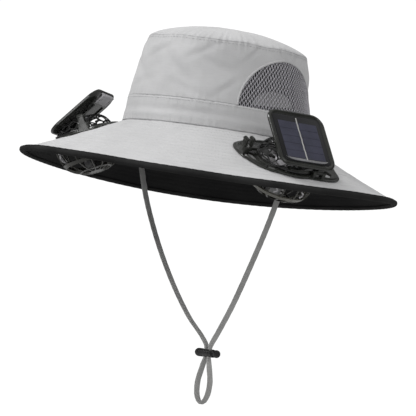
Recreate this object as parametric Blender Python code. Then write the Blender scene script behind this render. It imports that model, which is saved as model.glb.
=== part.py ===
"""Wide-brimmed cloth sun hat with two solar fan units on its brim and a chin cord.

The origin is the middle of the head opening, level with the seam between crown and brim. +Z is up and
the hat's front faces -Y, so the wearer's left is +X. Lengths are in metres.
Angles round the hat (phi) start at the front and turn towards the wearer's left.
A fan unit has its own directions: along (towards the back), out (down the brim) and up (off the brim).
"""

import math

import bmesh
import bpy
from mathutils import Matrix, Vector

MM = 0.001

# Cloth and clearances
GAP = 0.3 * MM
CLOTH = 1.2 * MM
AROUND = 48

# Crown, outside sizes at the brim seam
CROWN_LENGTH = 197.6 * MM
CROWN_WIDTH = 175.8 * MM
SEAM_HEIGHT = 87.0 * MM
BAND_HEIGHT = 24.8 * MM
TOP_RISE = 17.5 * MM
FOLD_DEPTH = 0.9 * MM
FOLD_COUNT = 5
PUCKER_DEPTH = 0.7 * MM
PUCKER_COUNT = 9

# Crown profile: height as a share of SEAM_HEIGHT, girth as a share of the girth at the brim seam
CROWN_PROFILE = (
    (0.00, 1.000),
    (0.28, 0.971),
    (0.42, 0.952),
    (0.57, 0.926),
    (0.84, 0.884),
    (1.00, 0.840),
)
TOP_ROUNDNESS = 0.75

# Brim
BRIM_LENGTH = 388.4 * MM
BRIM_WIDTH = 364.4 * MM
BRIM_DROP = 47.4 * MM
BRIM_SHIFT = -2.4 * MM
RIM_NOD = 1.2 * MM
RIM_WAVE = 5.3 * MM
SEAM_ALLOWANCE = 3.0 * MM
BRIM_ROWS = 3

# Binding round the rim
BINDING_WIDTH = 6.5 * MM
BINDING_WALL = 1.0 * MM

# Half-moon mesh panels in the crown's sides
MESH_HALF_ANGLE = math.radians(36.5)
MESH_HEIGHT = 51.0 * MM
MESH_BORDER = 2.6 * MM
MESH_PITCH_ALONG = 11.6 * MM
MESH_PITCH_UP = 6.6 * MM
MESH_HOLE_LENGTH = 8.2 * MM
MESH_HOLE_HEIGHT = 9.0 * MM
CUTTER_REACH = 6.0 * MM

# Flat-built solids are sliced this finely before they are bent on to the hat
SLICE_STEP = 12.0 * MM

# Fan unit: its flat frame
FRAME_LENGTH = 114.0 * MM
FRAME_WIDTH = 62.0 * MM
FRAME_HEIGHT = 3.3 * MM
FRAME_EDGE = 1.8 * MM
FRAME_CENTRE = (9.0 * MM, 1.0 * MM)

# Frame outline: along as a share of half FRAME_LENGTH, out as a share of half FRAME_WIDTH
FRAME_OUTLINE = (
    (-0.98, -0.80),
    (-1.00, -0.17),
    (-0.91, 0.30),
    (-0.80, 0.61),
    (-0.65, 0.81),
    (-0.41, 0.93),
    (-0.12, 0.99),
    (0.19, 1.00),
    (0.46, 0.92),
    (0.68, 0.74),
    (0.84, 0.42),
    (0.93, -0.07),
    (1.01, -0.60),
    (0.88, -1.02),
    (0.37, -1.24),
    (-0.25, -1.25),
    (-0.78, -1.08),
)
# Openings in the frame, as shares of the same two sizes
FRONT_OPENING = ((-0.87, 0.20), (-0.90, -0.08), (-0.85, -0.30), (-0.77, -0.20), (-0.77, 0.10))
BACK_OPENING = ((0.45, 0.36), (0.57, 0.18), (0.66, 0.40), (0.52, 0.70), (0.42, 0.68))

# Fan, round a centre given along and out from the unit's seat
FAN_PLACE = (-3.0 * MM, 3.0 * MM)
DUCT_RADIUS = 25.8 * MM
DUCT_WALL = 1.5 * MM
DUCT_DEPTH = 6.5 * MM
BRIM_HOLE_CLEARANCE = 0.4 * MM
IMPELLER_RADIUS = 24.2 * MM
IMPELLER_HEIGHT = 10.0 * MM
HUB_RADIUS = 9.5 * MM
BLADE_COUNT = 7
BLADE_THICKNESS = 1.3 * MM
BLADE_TWIST = math.radians(32.0)
MOTOR_RADIUS = 8.0 * MM

# Web grille over the fan, and guard under the brim
GRILLE_RADIUS = 29.0 * MM
GRILLE_RISE = 9.5 * MM
GRILLE_FULLNESS = 2.4
GRILLE_WALL = 1.4 * MM
GRILLE_RIBS = 8
GRILLE_HUB = 7.0 * MM
GUARD_RADIUS = 33.5 * MM
GUARD_DEPTH = 32.5 * MM
GUARD_WALL = 1.5 * MM
GUARD_RIBS = 8
GUARD_HUB = 8.6 * MM
RIB_WIDTH = 2.0 * MM
RING_WIDTH = 2.2 * MM
# Middles of the rings, as shares of the outer radius
GRILLE_RINGS = (0.60,)
GUARD_RINGS = (0.66,)

# Clip at the frame's front end
CLIP_PLACE = (-43.0 * MM, -8.5 * MM)
CLIP_SIZE = (9.0 * MM, 11.0 * MM, 6.5 * MM)
PRONG_THICKNESS = 2.4 * MM
PRONG_HEIGHT = 15.0 * MM
ARM_LENGTH = 7.0 * MM
ARM_SIZE = (6.0 * MM, 3.0 * MM)

# Solar panel
PANEL_SIDE = 65.0 * MM
PANEL_CORNER = 12.0 * MM
PANEL_EDGE = 4.5 * MM
PANEL_BACK = 6.5 * MM
PANEL_BORDER = 6.5 * MM
CELL_THICKNESS = 1.0 * MM
CELL_SINK = 0.1 * MM

# Hinge behind the panel's lower edge: its axis, and how the panel lies from it
HINGE_OUT = 28.0 * MM
HINGE_UP = 7.0 * MM
HINGE_RADIUS = 2.8 * MM
HINGE_INSET = 1.6 * MM
HINGE_DEPTH = PANEL_EDGE + HINGE_RADIUS + GAP + 0.1 * MM
KNUCKLE_START = 17.6 * MM
KNUCKLE_LENGTH = 6.4 * MM
EAR_LENGTH = 3.4 * MM
PIN_RADIUS = 1.1 * MM
BORE_OVERRUN = 9.0 * MM
PANEL_ALONG = 5.0 * MM

# Block on the grille's outer flank, and the leg that props the panel on the grille's hub
BLOCK_START = (-13.0 * MM, 23.5 * MM)
BLOCK_SIZE = (28.5 * MM, 6.5 * MM)
BLOCK_TOP = 7.4 * MM
BLOCK_TRIM = 0.2 * MM
LEG_WIDTH = 9.0 * MM
LEG_THICKNESS = 2.4 * MM
LEG_TOP = 30.0 * MM
LEG_FOOT = (-3.0 * MM, -1.0 * MM)

# Chin cord and its lock, hanging from two tabs under the brim
CORD_RADIUS = 2.0 * MM
CORD_POINTS = 56
TAB_LENGTH = 14.0 * MM
TAB_WIDTH = 12.0 * MM
TAB_THICKNESS = 2.0 * MM
TAB_REACH = 98.0 * MM
LOCK_PLACE = (27.0 * MM, 0.0, -213.5 * MM)
LOCK_LENGTH = 26.0 * MM
LOCK_WIDTH = 11.0 * MM
LOCK_HEIGHT = 8.2 * MM
LOCK_HEAD = 2.6 * MM
LOCK_STROKE = 2.8 * MM
STEM_WIDTH = 7.2 * MM
STEM_HEIGHT = 5.0 * MM
STEM_CLEARANCE = 0.3 * MM
STRAND_SPREAD = 5.2 * MM
SLOT_CLEARANCE = 0.9 * MM

# The cord's route in the plane across the hat, X and Z in metres, from the right tab to the left one
CORD_ROUTE = (
    (-0.0980, -0.0115),
    (-0.0925, -0.0330),
    (-0.0790, -0.0690),
    (-0.0570, -0.1090),
    (-0.0300, -0.1480),
    (-0.0040, -0.1790),
    (0.0150, -0.1960),
    (0.0236, -0.2055),
    (0.0245, -0.2115),
    (0.0244, -0.2180),
    (0.0220, -0.2280),
    (0.0190, -0.2420),
    (0.0206, -0.2555),
    (0.0270, -0.2630),
    (0.0334, -0.2555),
    (0.0350, -0.2420),
    (0.0320, -0.2280),
    (0.0296, -0.2180),
    (0.0295, -0.2115),
    (0.0306, -0.2050),
    (0.0390, -0.1890),
    (0.0520, -0.1610),
    (0.0675, -0.1190),
    (0.0815, -0.0780),
    (0.0930, -0.0370),
    (0.0980, -0.0115),
)

SIDES = {"left": 1, "right": -1}
# Seat of each unit: its angle round the hat, and how far down the brim it is, from 0 at the crown to 1 at the rim
UNIT_ANGLES = {1: math.radians(72.0), -1: math.radians(-64.0)}
UNIT_SHARES = {1: 0.50, -1: 0.38}
# Rest angle of each panel to its frame
PANEL_TILTS = {1: math.radians(26.0), -1: math.radians(23.0)}
SMALL_ANGLE = 0.002
ROUND_SIDES = 28
PIN_SIDES = 12


def clear_scene():
    for item in list(bpy.data.objects):
        bpy.data.objects.remove(item, do_unlink=True)


def material(name, colour, roughness, metallic=0.0, alpha=1.0):
    made = bpy.data.materials.new(name)
    made.use_nodes = True
    shader = made.node_tree.nodes["Principled BSDF"]
    shader.inputs["Base Color"].default_value = (*colour, 1.0)
    shader.inputs["Roughness"].default_value = roughness
    shader.inputs["Metallic"].default_value = metallic
    shader.inputs["Alpha"].default_value = alpha
    return made


def face_out(builder):
    """Turns a closed body's faces over where they point inwards, so that its volume is positive."""
    if builder.calc_volume(signed=True) < 0.0:
        bmesh.ops.reverse_faces(builder, faces=builder.faces[:])


def add_object(name, builder, finish=None, smooth=True):
    """Turns a bmesh into a named object, with its faces pointing out."""
    bmesh.ops.recalc_face_normals(builder, faces=builder.faces)
    face_out(builder)
    mesh = bpy.data.meshes.new(name)
    builder.to_mesh(mesh)
    builder.free()
    if smooth:
        mesh.shade_smooth()
        mesh.set_sharp_from_angle(angle=math.radians(40.0))
    made = bpy.data.objects.new(name, mesh)
    bpy.context.scene.collection.objects.link(made)
    if finish:
        mesh.materials.append(finish)
    return made


def read_curve(rows, place):
    """Reads a table of (place, value) rows along a smooth curve through them."""
    count = len(rows)
    slopes = []
    for index in range(count):
        low = rows[max(index - 1, 0)]
        high = rows[min(index + 1, count - 1)]
        slopes.append((high[1] - low[1]) / (high[0] - low[0]))
    index = 0
    while index < count - 2 and place > rows[index + 1][0]:
        index += 1
    (start, low), (end, high) = rows[index], rows[index + 1]
    span = end - start
    share = (place - start) / span
    bend = share * share * (3.0 - 2.0 * share)
    lead = share * (1.0 - share) ** 2 * span * slopes[index]
    trail = share ** 2 * (share - 1.0) * span * slopes[index + 1]
    return low + (high - low) * bend + lead + trail


def mix(low, high, share):
    return low + (high - low) * share


def angles():
    return [math.tau * step / AROUND for step in range(AROUND)]


def loft(name, loops, finish, closed=False):
    """Skins a row of equal loops; the row closes on itself, or its two ends are capped."""
    builder = bmesh.new()
    rows = [[builder.verts.new(point) for point in loop] for loop in loops]
    pairs = list(zip(rows, rows[1:]))
    if closed:
        pairs.append((rows[-1], rows[0]))
    for low, high in pairs:
        for index in range(len(low)):
            after = (index + 1) % len(low)
            builder.faces.new((low[index], low[after], high[after], high[index]))
    if not closed:
        builder.faces.new(rows[0])
        builder.faces.new(rows[-1])
    return add_object(name, builder, finish)


def carve(target, tool, operation="DIFFERENCE"):
    """Applies a Boolean to the target and removes the tool."""
    step = target.modifiers.new("Carve", "BOOLEAN")
    step.operation = operation
    step.solver = "EXACT"
    step.object = tool
    bpy.context.view_layer.update()
    graph = bpy.context.evaluated_depsgraph_get()
    result = bpy.data.meshes.new_from_object(target.evaluated_get(graph))
    target.modifiers.remove(step)
    target.data = result
    bpy.data.objects.remove(tool, do_unlink=True)
    return target


def bend(item, place):
    """Slices a flat-built solid across its length and sends each point to its place on the hat."""
    builder = bmesh.new()
    builder.from_mesh(item.data)
    reach = max(abs(vertex.co.x) for vertex in builder.verts)
    slices = int(reach / SLICE_STEP)
    for step in range(-slices, slices + 1):
        everything = builder.verts[:] + builder.edges[:] + builder.faces[:]
        where = Vector((step * SLICE_STEP, 0.0, 0.0))
        bmesh.ops.bisect_plane(builder, geom=everything, dist=0.01 * MM, plane_co=where, plane_no=(1, 0, 0))
    bmesh.ops.triangulate(builder, faces=builder.faces[:])
    for vertex in builder.verts:
        vertex.co = place(*vertex.co)
    face_out(builder)
    builder.to_mesh(item.data)
    builder.free()
    item.data.shade_smooth()
    item.data.set_sharp_from_angle(angle=math.radians(40.0))
    return item


def prism(name, outline, low, high, finish=None):
    """A straight-sided solid over an outline of (x, y) points."""
    loops = [[Vector((x, y, z)) for x, y in outline] for z in (low, high)]
    return loft(name, loops, finish)


def box(name, low, high, finish=None):
    outline = ((low[0], low[1]), (high[0], low[1]), (high[0], high[1]), (low[0], high[1]))
    return prism(name, outline, low[2], high[2], finish)


def circle(radius, sides=ROUND_SIDES, centre=(0.0, 0.0)):
    turns = [math.tau * step / sides for step in range(sides)]
    return [(centre[0] + radius * math.cos(turn), centre[1] + radius * math.sin(turn)) for turn in turns]


def fan_circle(radius, sides=ROUND_SIDES):
    return circle(radius, sides, FAN_PLACE)


def rod_along(name, centre_out, centre_up, radius, start, end, sides=PIN_SIDES, finish=None):
    """A round rod along the unit's first direction."""
    ring = circle(radius, sides, (centre_out, centre_up))
    loops = [[Vector((along, y, z)) for y, z in ring] for along in (start, end)]
    return loft(name, loops, finish)


# Surfaces of crown and brim


def crown_fold(phi, height):
    """How far the soft crown sinks in at a place; the folds fade out at both seams."""
    share = max(0.0, min(1.0, height / SEAM_HEIGHT))
    depth = FOLD_DEPTH * math.sin(math.pi * share)
    return depth * math.sin(FOLD_COUNT * phi + 4.0 * share)


def crown_point(phi, height, inset=0.0):
    share = read_curve(CROWN_PROFILE, height / SEAM_HEIGHT)
    sink = inset + crown_fold(phi, height)
    half_width = 0.5 * CROWN_WIDTH * share - sink
    half_length = 0.5 * CROWN_LENGTH * share - sink
    return Vector((half_width * math.sin(phi), -half_length * math.cos(phi), height))


def top_seam(phi):
    """Height of the puckered seam between the crown's side and its top."""
    pucker = math.sin(PUCKER_COUNT * phi) + 0.6 * math.sin((PUCKER_COUNT + 4) * phi + 1.0)
    return SEAM_HEIGHT - PUCKER_DEPTH * (1.0 - 0.5 * pucker)


def brim_flat_point(phi, share):
    half_width = mix(0.5 * CROWN_WIDTH, 0.5 * BRIM_WIDTH, share)
    half_length = mix(0.5 * CROWN_LENGTH, 0.5 * BRIM_LENGTH, share)
    wave = RIM_NOD * math.cos(phi) - RIM_WAVE * math.sin(2.0 * phi)
    height = wave * share * abs(share) - BRIM_DROP * share
    return Vector((half_width * math.sin(phi), BRIM_SHIFT * share - half_length * math.cos(phi), height))


def brim_normal(phi, share):
    round_step = brim_flat_point(phi + SMALL_ANGLE, share) - brim_flat_point(phi - SMALL_ANGLE, share)
    out_step = brim_flat_point(phi, share + SMALL_ANGLE) - brim_flat_point(phi, share - SMALL_ANGLE)
    return out_step.cross(round_step).normalized()


def brim_point(phi, share, lift=0.0):
    """A place on the brim's top face, or lifted off it: share is 0 at the crown seam and 1 at the rim."""
    return brim_flat_point(phi, share) + brim_normal(phi, share) * lift


def brim_slant():
    return math.hypot(0.5 * (BRIM_WIDTH - CROWN_WIDTH), BRIM_DROP)


def brim_height(x, y):
    """Height of the brim's top face over a place, with the share found by halving."""
    low, high = -0.5, 1.5
    for _ in range(36):
        share = 0.5 * (low + high)
        half_width = mix(0.5 * CROWN_WIDTH, 0.5 * BRIM_WIDTH, share)
        half_length = mix(0.5 * CROWN_LENGTH, 0.5 * BRIM_LENGTH, share)
        across, along = x / half_width, (BRIM_SHIFT * share - y) / half_length
        if across * across + along * along > 1.0:
            low = share
        else:
            high = share
    return brim_flat_point(math.atan2(across, along), share).z


# Crown


def crown_wall(name, low, high, finish, rows):
    """A cloth wall between two seam heights, given as functions of the angle and the inset."""
    skins = []
    for inset, order in ((0.0, range(rows + 1)), (CLOTH, range(rows, -1, -1))):
        for row in order:
            loop = []
            for phi in angles():
                height = mix(low(phi, inset), high(phi, inset), row / rows)
                loop.append(crown_point(phi, height, inset))
            skins.append(loop)
    return loft(name, skins, finish, closed=True)


def over_brim(phi, inset):
    """The lowest edge of the crown, which stands on the brim."""
    guess = crown_point(phi, 0.0, inset)
    return brim_height(guess.x, guess.y) + 1.5 * GAP


def make_crown_band(finish):
    return crown_wall("crown_band", over_brim, lambda phi, inset: BAND_HEIGHT, finish, 1)


def make_crown_side(finish):
    side = crown_wall(
        "crown_side",
        lambda phi, inset: BAND_HEIGHT + GAP,
        lambda phi, inset: top_seam(phi),
        finish,
        4,
    )
    for turn in SIDES.values():
        carve(side, mesh_cutter(turn))
    return side


def make_crown_top(finish):
    """The domed top, whose edge stands on the crown's side."""
    rings = (1.0, 0.97, 0.86, 0.60, 0.25)
    loops = []
    for inset, order in ((0.0, reversed(rings)), (CLOTH, rings)):
        for ring in order:
            loop = []
            for phi in angles():
                edge = crown_point(phi, top_seam(phi), inset)
                rise = (TOP_RISE - inset) * (1.0 - ring * ring) ** TOP_ROUNDNESS
                base = mix(SEAM_HEIGHT - PUCKER_DEPTH, edge.z, ring) + GAP
                loop.append(Vector((edge.x * ring, edge.y * ring, base + rise)))
            loops.append(loop)
    return loft("crown_top", loops, finish)


# Mesh panels


def moon_outline(shrink, steps=18):
    """Outline of a mesh panel as (angle, height), taken in by a clearance or a border."""
    radius = 0.5 * CROWN_WIDTH
    half_angle = MESH_HALF_ANGLE - shrink / radius
    rise = MESH_HEIGHT - shrink
    turns = [math.pi * step / steps for step in range(steps + 1)]
    return [(half_angle * math.cos(turn), rise * math.sin(turn)) for turn in turns]


def mesh_place(turn, along, up, inset):
    """Sends a flat point of a panel (angle, height over the band, depth) to the crown's wall."""
    phi = turn * 0.5 * math.pi + along
    return crown_point(phi, BAND_HEIGHT + GAP + up, inset)


def mesh_cutter(turn):
    """Cuts a half-moon through the crown's side, and out through its lower edge."""
    reach = CUTTER_REACH
    scale = 0.5 * CROWN_LENGTH
    outline = [(along * scale, up) for along, up in moon_outline(-GAP)]
    outline = [(outline[0][0], -reach)] + outline + [(outline[-1][0], -reach)]
    cutter = prism("mesh_cutter", outline, -reach, reach)
    return bend(cutter, lambda x, y, z: mesh_place(turn, x / scale, y, z))


def diamond(along, up):
    half_length = 0.5 * MESH_HOLE_LENGTH
    half_height = 0.5 * MESH_HOLE_HEIGHT
    return (
        (along + half_length, up),
        (along, up + half_height),
        (along - half_length, up),
        (along, up - half_height),
    )


def net_holes():
    """Staggered diamonds that fit inside the panel's border, in flat millimetres along the wall."""
    wide = MESH_HALF_ANGLE * 0.5 * CROWN_LENGTH - MESH_BORDER
    tall = MESH_HEIGHT - MESH_BORDER
    holes = []
    row = 0
    up = MESH_BORDER + 0.5 * MESH_HOLE_HEIGHT
    while up < tall:
        shift = 0.5 * MESH_PITCH_ALONG * (row % 2)
        reach = int(wide / MESH_PITCH_ALONG) + 1
        for column in range(-reach, reach + 1):
            along = column * MESH_PITCH_ALONG + shift
            corner_out = (abs(along) + 0.5 * MESH_HOLE_LENGTH) / wide
            corner_up = (up + 0.5 * MESH_HOLE_HEIGHT) / tall
            side = corner_out ** 2 + (up / tall) ** 2
            top = (along / wide) ** 2 + corner_up ** 2
            if max(side, top) < 1.0:
                holes.append(diamond(along, up))
        up += MESH_PITCH_UP
        row += 1
    return holes


def make_mesh_panel(side_name, turn, finish):
    """A coarse net inside a border, built flat and then laid on the crown's wall."""
    scale = 0.5 * CROWN_LENGTH
    outline = [(along * scale, up) for along, up in moon_outline(0.0)]
    panel = prism("mesh_panel_" + side_name, outline, 0.0, CLOTH, finish)
    for hole in net_holes():
        carve(panel, prism("hole", hole, -CLOTH, 2.0 * CLOTH))
    return bend(panel, lambda x, y, z: mesh_place(turn, x / scale, y, z))


# Brim


def brim_layer(name, top_lift, finish):
    """One cloth layer of the brim, with a hole for each fan."""
    inner = -SEAM_ALLOWANCE / brim_slant()
    outer = 1.0 - (BINDING_WALL + 1.5 * GAP) / brim_slant()
    loops = []
    for lift, order in ((top_lift, range(BRIM_ROWS + 1)), (top_lift - CLOTH, range(BRIM_ROWS, -1, -1))):
        for row in order:
            share = mix(inner, outer, row / BRIM_ROWS)
            loops.append([brim_point(phi, share, lift) for phi in angles()])
    layer = loft(name, loops, finish, closed=True)
    for turn in SIDES.values():
        radius = DUCT_RADIUS + DUCT_WALL + BRIM_HOLE_CLEARANCE
        hole = prism("fan_hole", fan_circle(radius), -4.0 * DUCT_DEPTH, 4.0 * DUCT_DEPTH)
        set_in_unit(hole, turn)
        carve(layer, hole)
    return layer


def make_binding(finish):
    """The folded strip round the rim; its section is (distance in from the rim, lift off the brim)."""
    bottom = -2.0 * CLOTH - GAP
    middle = 0.5 * bottom
    wall = BINDING_WALL
    section = (
        (BINDING_WIDTH, GAP + wall),
        (0.9 * wall, GAP + wall),
        (0.0, middle),
        (0.9 * wall, bottom - GAP - wall),
        (BINDING_WIDTH, bottom - GAP - wall),
        (BINDING_WIDTH, bottom - GAP),
        (wall, bottom - GAP),
        (wall, GAP),
        (BINDING_WIDTH, GAP),
    )
    loops = []
    for distance, lift in section:
        share = 1.0 - distance / brim_slant()
        loops.append([brim_point(phi, share, lift) for phi in angles()])
    return loft("brim_binding", loops, finish, closed=True)


# Fan units


def unit_axes(turn):
    """Seat of a unit on the brim and its directions along, out and up; turn is 1 on the wearer's left."""
    phi = UNIT_ANGLES[turn]
    share = UNIT_SHARES[turn]
    seat = brim_point(phi, share)
    up = brim_normal(phi, share)
    along = (brim_point(phi + turn * SMALL_ANGLE, share) - seat).normalized()
    out = (along.cross(up) * turn).normalized()
    return seat, along, out, up


def unit_point(turn, along, out, up):
    seat, along_axis, out_axis, up_axis = unit_axes(turn)
    return seat + along_axis * along + out_axis * out + up_axis * up


def set_in_unit(item, turn):
    """Moves a solid that was made in a unit's own directions to its place on the hat."""
    builder = bmesh.new()
    builder.from_mesh(item.data)
    for vertex in builder.verts:
        vertex.co = unit_point(turn, *vertex.co)
    face_out(builder)
    builder.to_mesh(item.data)
    builder.free()


def brim_place(turn, along, out, lift):
    """A unit's point dropped on to the curved brim along the unit's up direction, then lifted off it."""
    up_axis = unit_axes(turn)[3]
    place = unit_point(turn, along, out, 0.0)
    for _ in range(5):
        place += up_axis * ((brim_height(place.x, place.y) - place.z) * up_axis.z)
    return place + up_axis * lift


def frame_points(shares, grow=0.0):
    half_length = 0.5 * FRAME_LENGTH + grow
    half_width = 0.5 * FRAME_WIDTH + grow
    return [(FRAME_CENTRE[0] + a * half_length, FRAME_CENTRE[1] + b * half_width) for a, b in shares]


def hinge_span():
    """Ends of the panel's knuckle, which lies between the frame's two ears."""
    return KNUCKLE_START, KNUCKLE_START + KNUCKLE_LENGTH


def add_clip(frame):
    """Block with two upright prongs at the front end, and its arm to the grille."""
    along, out = CLIP_PLACE
    length, width, height = CLIP_SIZE
    base = 0.5 * FRAME_HEIGHT
    low = (along - 0.5 * length, out - 0.5 * width, base)
    high = (along + 0.5 * length, out + 0.5 * width, FRAME_HEIGHT + height)
    carve(frame, box("clip", low, high), "UNION")
    for start in (low[0], high[0] - PRONG_THICKNESS):
        prong_low = (start, low[1] + 0.2 * width, FRAME_HEIGHT)
        prong_high = (start + PRONG_THICKNESS, high[1] - 0.2 * width, FRAME_HEIGHT + PRONG_HEIGHT)
        carve(frame, box("prong", prong_low, prong_high), "UNION")
    arm_width, arm_height = ARM_SIZE
    arm_low = (high[0] - MM, out - 0.5 * arm_width, FRAME_HEIGHT + 0.3 * height)
    arm_high = (high[0] + ARM_LENGTH - MM, out + 0.5 * arm_width, arm_low[2] + arm_height)
    carve(frame, box("arm", arm_low, arm_high), "UNION")


def add_hinge_ears(frame):
    """An ear at each end of the panel's knuckle."""
    start, end = hinge_span()
    base = 0.5 * FRAME_HEIGHT
    for low, high in ((start - GAP - EAR_LENGTH, start - GAP), (end + GAP, end + GAP + EAR_LENGTH)):
        foot_low = (low, HINGE_OUT - HINGE_RADIUS, base)
        foot_high = (high, HINGE_OUT + HINGE_RADIUS, HINGE_UP)
        carve(frame, box("foot", foot_low, foot_high), "UNION")
        carve(frame, rod_along("ear", HINGE_OUT, HINGE_UP, HINGE_RADIUS, low, high), "UNION")


def make_fan_frame(side_name, turn, finish):
    """Moulded frame on the brim: chamfered plate, duct through the brim, clip and hinge ears."""
    tiers = ((0.0, GAP), (0.0, GAP + FRAME_EDGE), (-2.0 * MM, FRAME_HEIGHT))
    loops = []
    for grow, lift in tiers:
        loops.append([Vector((x, y, lift)) for x, y in frame_points(FRAME_OUTLINE, grow)])
    frame = loft("fan_frame_" + side_name, loops, finish)
    sleeve = prism("duct", fan_circle(DUCT_RADIUS + DUCT_WALL), -DUCT_DEPTH, FRAME_HEIGHT - MM)
    carve(frame, sleeve, "UNION")
    add_clip(frame)
    add_hinge_ears(frame)
    high = FRAME_HEIGHT + 2.0 * PRONG_HEIGHT
    carve(frame, prism("grille_seat", fan_circle(GRILLE_RADIUS + 2.0 * GAP), FRAME_HEIGHT, high))
    carve(frame, prism("bore", fan_circle(DUCT_RADIUS), -2.0 * DUCT_DEPTH, high))
    for shares in (FRONT_OPENING, BACK_OPENING):
        carve(frame, prism("opening", frame_points(shares), -DUCT_DEPTH, FRAME_HEIGHT + MM))
    bend(frame, lambda x, y, z: brim_place(turn, x, y, z))
    start, end = hinge_span()
    bore = rod_along("pin_bore", HINGE_OUT, HINGE_UP, PIN_RADIUS + GAP, start - BORE_OVERRUN, end + BORE_OVERRUN)
    set_in_unit(bore, turn)
    return carve(frame, bore)


def pierced_bowl(name, radii, ribs, rib_width, level, wall, finish, place):
    """A round net: rings between the odd pairs of radii, ribs across them, closed hub and rim.

    level(radius) gives the bowl's outer height, and wall is laid inside it, towards the seat.
    """
    builder = bmesh.new()
    columns = 2 * ribs
    grid = {}
    for row, radius in enumerate(radii):
        half_rib = 0.5 * rib_width / max(radius, rib_width)
        for column in range(columns):
            side = -half_rib if column % 2 == 0 else half_rib
            turn = math.tau * (column // 2) / ribs + side
            x = FAN_PLACE[0] + radius * math.cos(turn)
            y = FAN_PLACE[1] + radius * math.sin(turn)
            outer = level(radius)
            for skin, height in enumerate((outer, outer - wall)):
                grid[row, column, skin] = builder.verts.new(place(x, y, height))
    rows = len(radii) - 1

    def is_open(row, column):
        return 0 <= row < rows and row % 2 == 1 and column % 2 == 1

    def is_solid(row, column):
        return 0 <= row < rows and not is_open(row, column)

    for row in range(rows):
        for column in range(columns):
            if not is_solid(row, column):
                continue
            after = (column + 1) % columns
            corners = ((row, column), (row, after), (row + 1, after), (row + 1, column))
            for skin in (0, 1):
                builder.faces.new([grid[r, c, skin] for r, c in corners])
            neighbours = (
                (row - 1, column),
                (row, after),
                (row + 1, column),
                (row, (column - 1) % columns),
            )
            edges = zip(corners, corners[1:] + corners[:1])
            for (start, end), neighbour in zip(edges, neighbours):
                if neighbour[0] < 0 or is_solid(*neighbour):
                    continue
                wall_corners = [grid[(*start, 0)], grid[(*end, 0)], grid[(*end, 1)], grid[(*start, 1)]]
                builder.faces.new(wall_corners)
    for skin in (0, 1):
        builder.faces.new([grid[0, column, skin] for column in range(columns)])
    return add_object(name, builder, finish)


def net_radii(hub, rings, ring_width, rim, outer):
    """Radii of a round net: hub edge, then both edges of each ring, then both edges of the rim."""
    radii = [0.55 * hub, hub]
    for middle in rings:
        radii += [middle * outer - 0.5 * ring_width, middle * outer + 0.5 * ring_width]
    return radii + [rim, outer]


def grille_level(radius):
    """Outer height of the grille's dome."""
    inside = min(1.0, radius / GRILLE_RADIUS)
    return FRAME_HEIGHT + GAP + GRILLE_WALL + GRILLE_RISE * (1.0 - inside ** GRILLE_FULLNESS)


def make_grille(side_name, turn, finish):
    """Low web dome over the fan; its rim stands on the frame."""
    radii = net_radii(GRILLE_HUB, GRILLE_RINGS, RING_WIDTH, DUCT_RADIUS - MM, GRILLE_RADIUS)
    name = "fan_grille_" + side_name
    grille = pierced_bowl(
        name, radii, GRILLE_RIBS, RIB_WIDTH, grille_level, GRILLE_WALL, finish,
        lambda x, y, z: brim_place(turn, x, y, z),
    )
    return carve(grille, grille_block(turn, FRAME_HEIGHT + GAP + 0.5 * GRILLE_WALL), "UNION")


def grille_block(turn, low):
    """Block on the grille's outer flank, trimmed to the grille's own round edge."""
    along, out = BLOCK_START
    block = box("block", (along, out, low), (along + BLOCK_SIZE[0], out + BLOCK_SIZE[1], BLOCK_TOP))
    rim = prism("rim", fan_circle(GRILLE_RADIUS - BLOCK_TRIM), low - MM, BLOCK_TOP + MM)
    carve(block, rim, "INTERSECT")
    return bend(block, lambda x, y, z: brim_place(turn, x, y, z))


def guard_level(radius):
    """Outer height of the guard's bowl under the brim's lowest layer."""
    inside = min(1.0, radius / GUARD_RADIUS)
    return -2.0 * CLOTH - 2.0 * GAP - GUARD_WALL - GUARD_DEPTH * math.sqrt(1.0 - inside ** 2)


def make_guard(side_name, turn, finish):
    """Deep ribbed bowl under the brim; its hub carries the motor."""
    radii = net_radii(GUARD_HUB, GUARD_RINGS, 1.6 * RING_WIDTH, 0.93 * GUARD_RADIUS, GUARD_RADIUS)
    name = "lower_guard_" + side_name
    return pierced_bowl(
        name, radii, GUARD_RIBS, RIB_WIDTH, guard_level, -GUARD_WALL, finish,
        lambda x, y, z: brim_place(turn, x, y, z),
    )


def unit_matrix(turn, along, out, up):
    """Placement with its Z axis off the brim, for pieces that turn about it."""
    _, along_axis, out_axis, up_axis = unit_axes(turn)
    across = up_axis.cross(along_axis)
    basis = Matrix((along_axis, across, up_axis)).transposed().to_4x4()
    return Matrix.Translation(unit_point(turn, along, out, up)) @ basis


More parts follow.
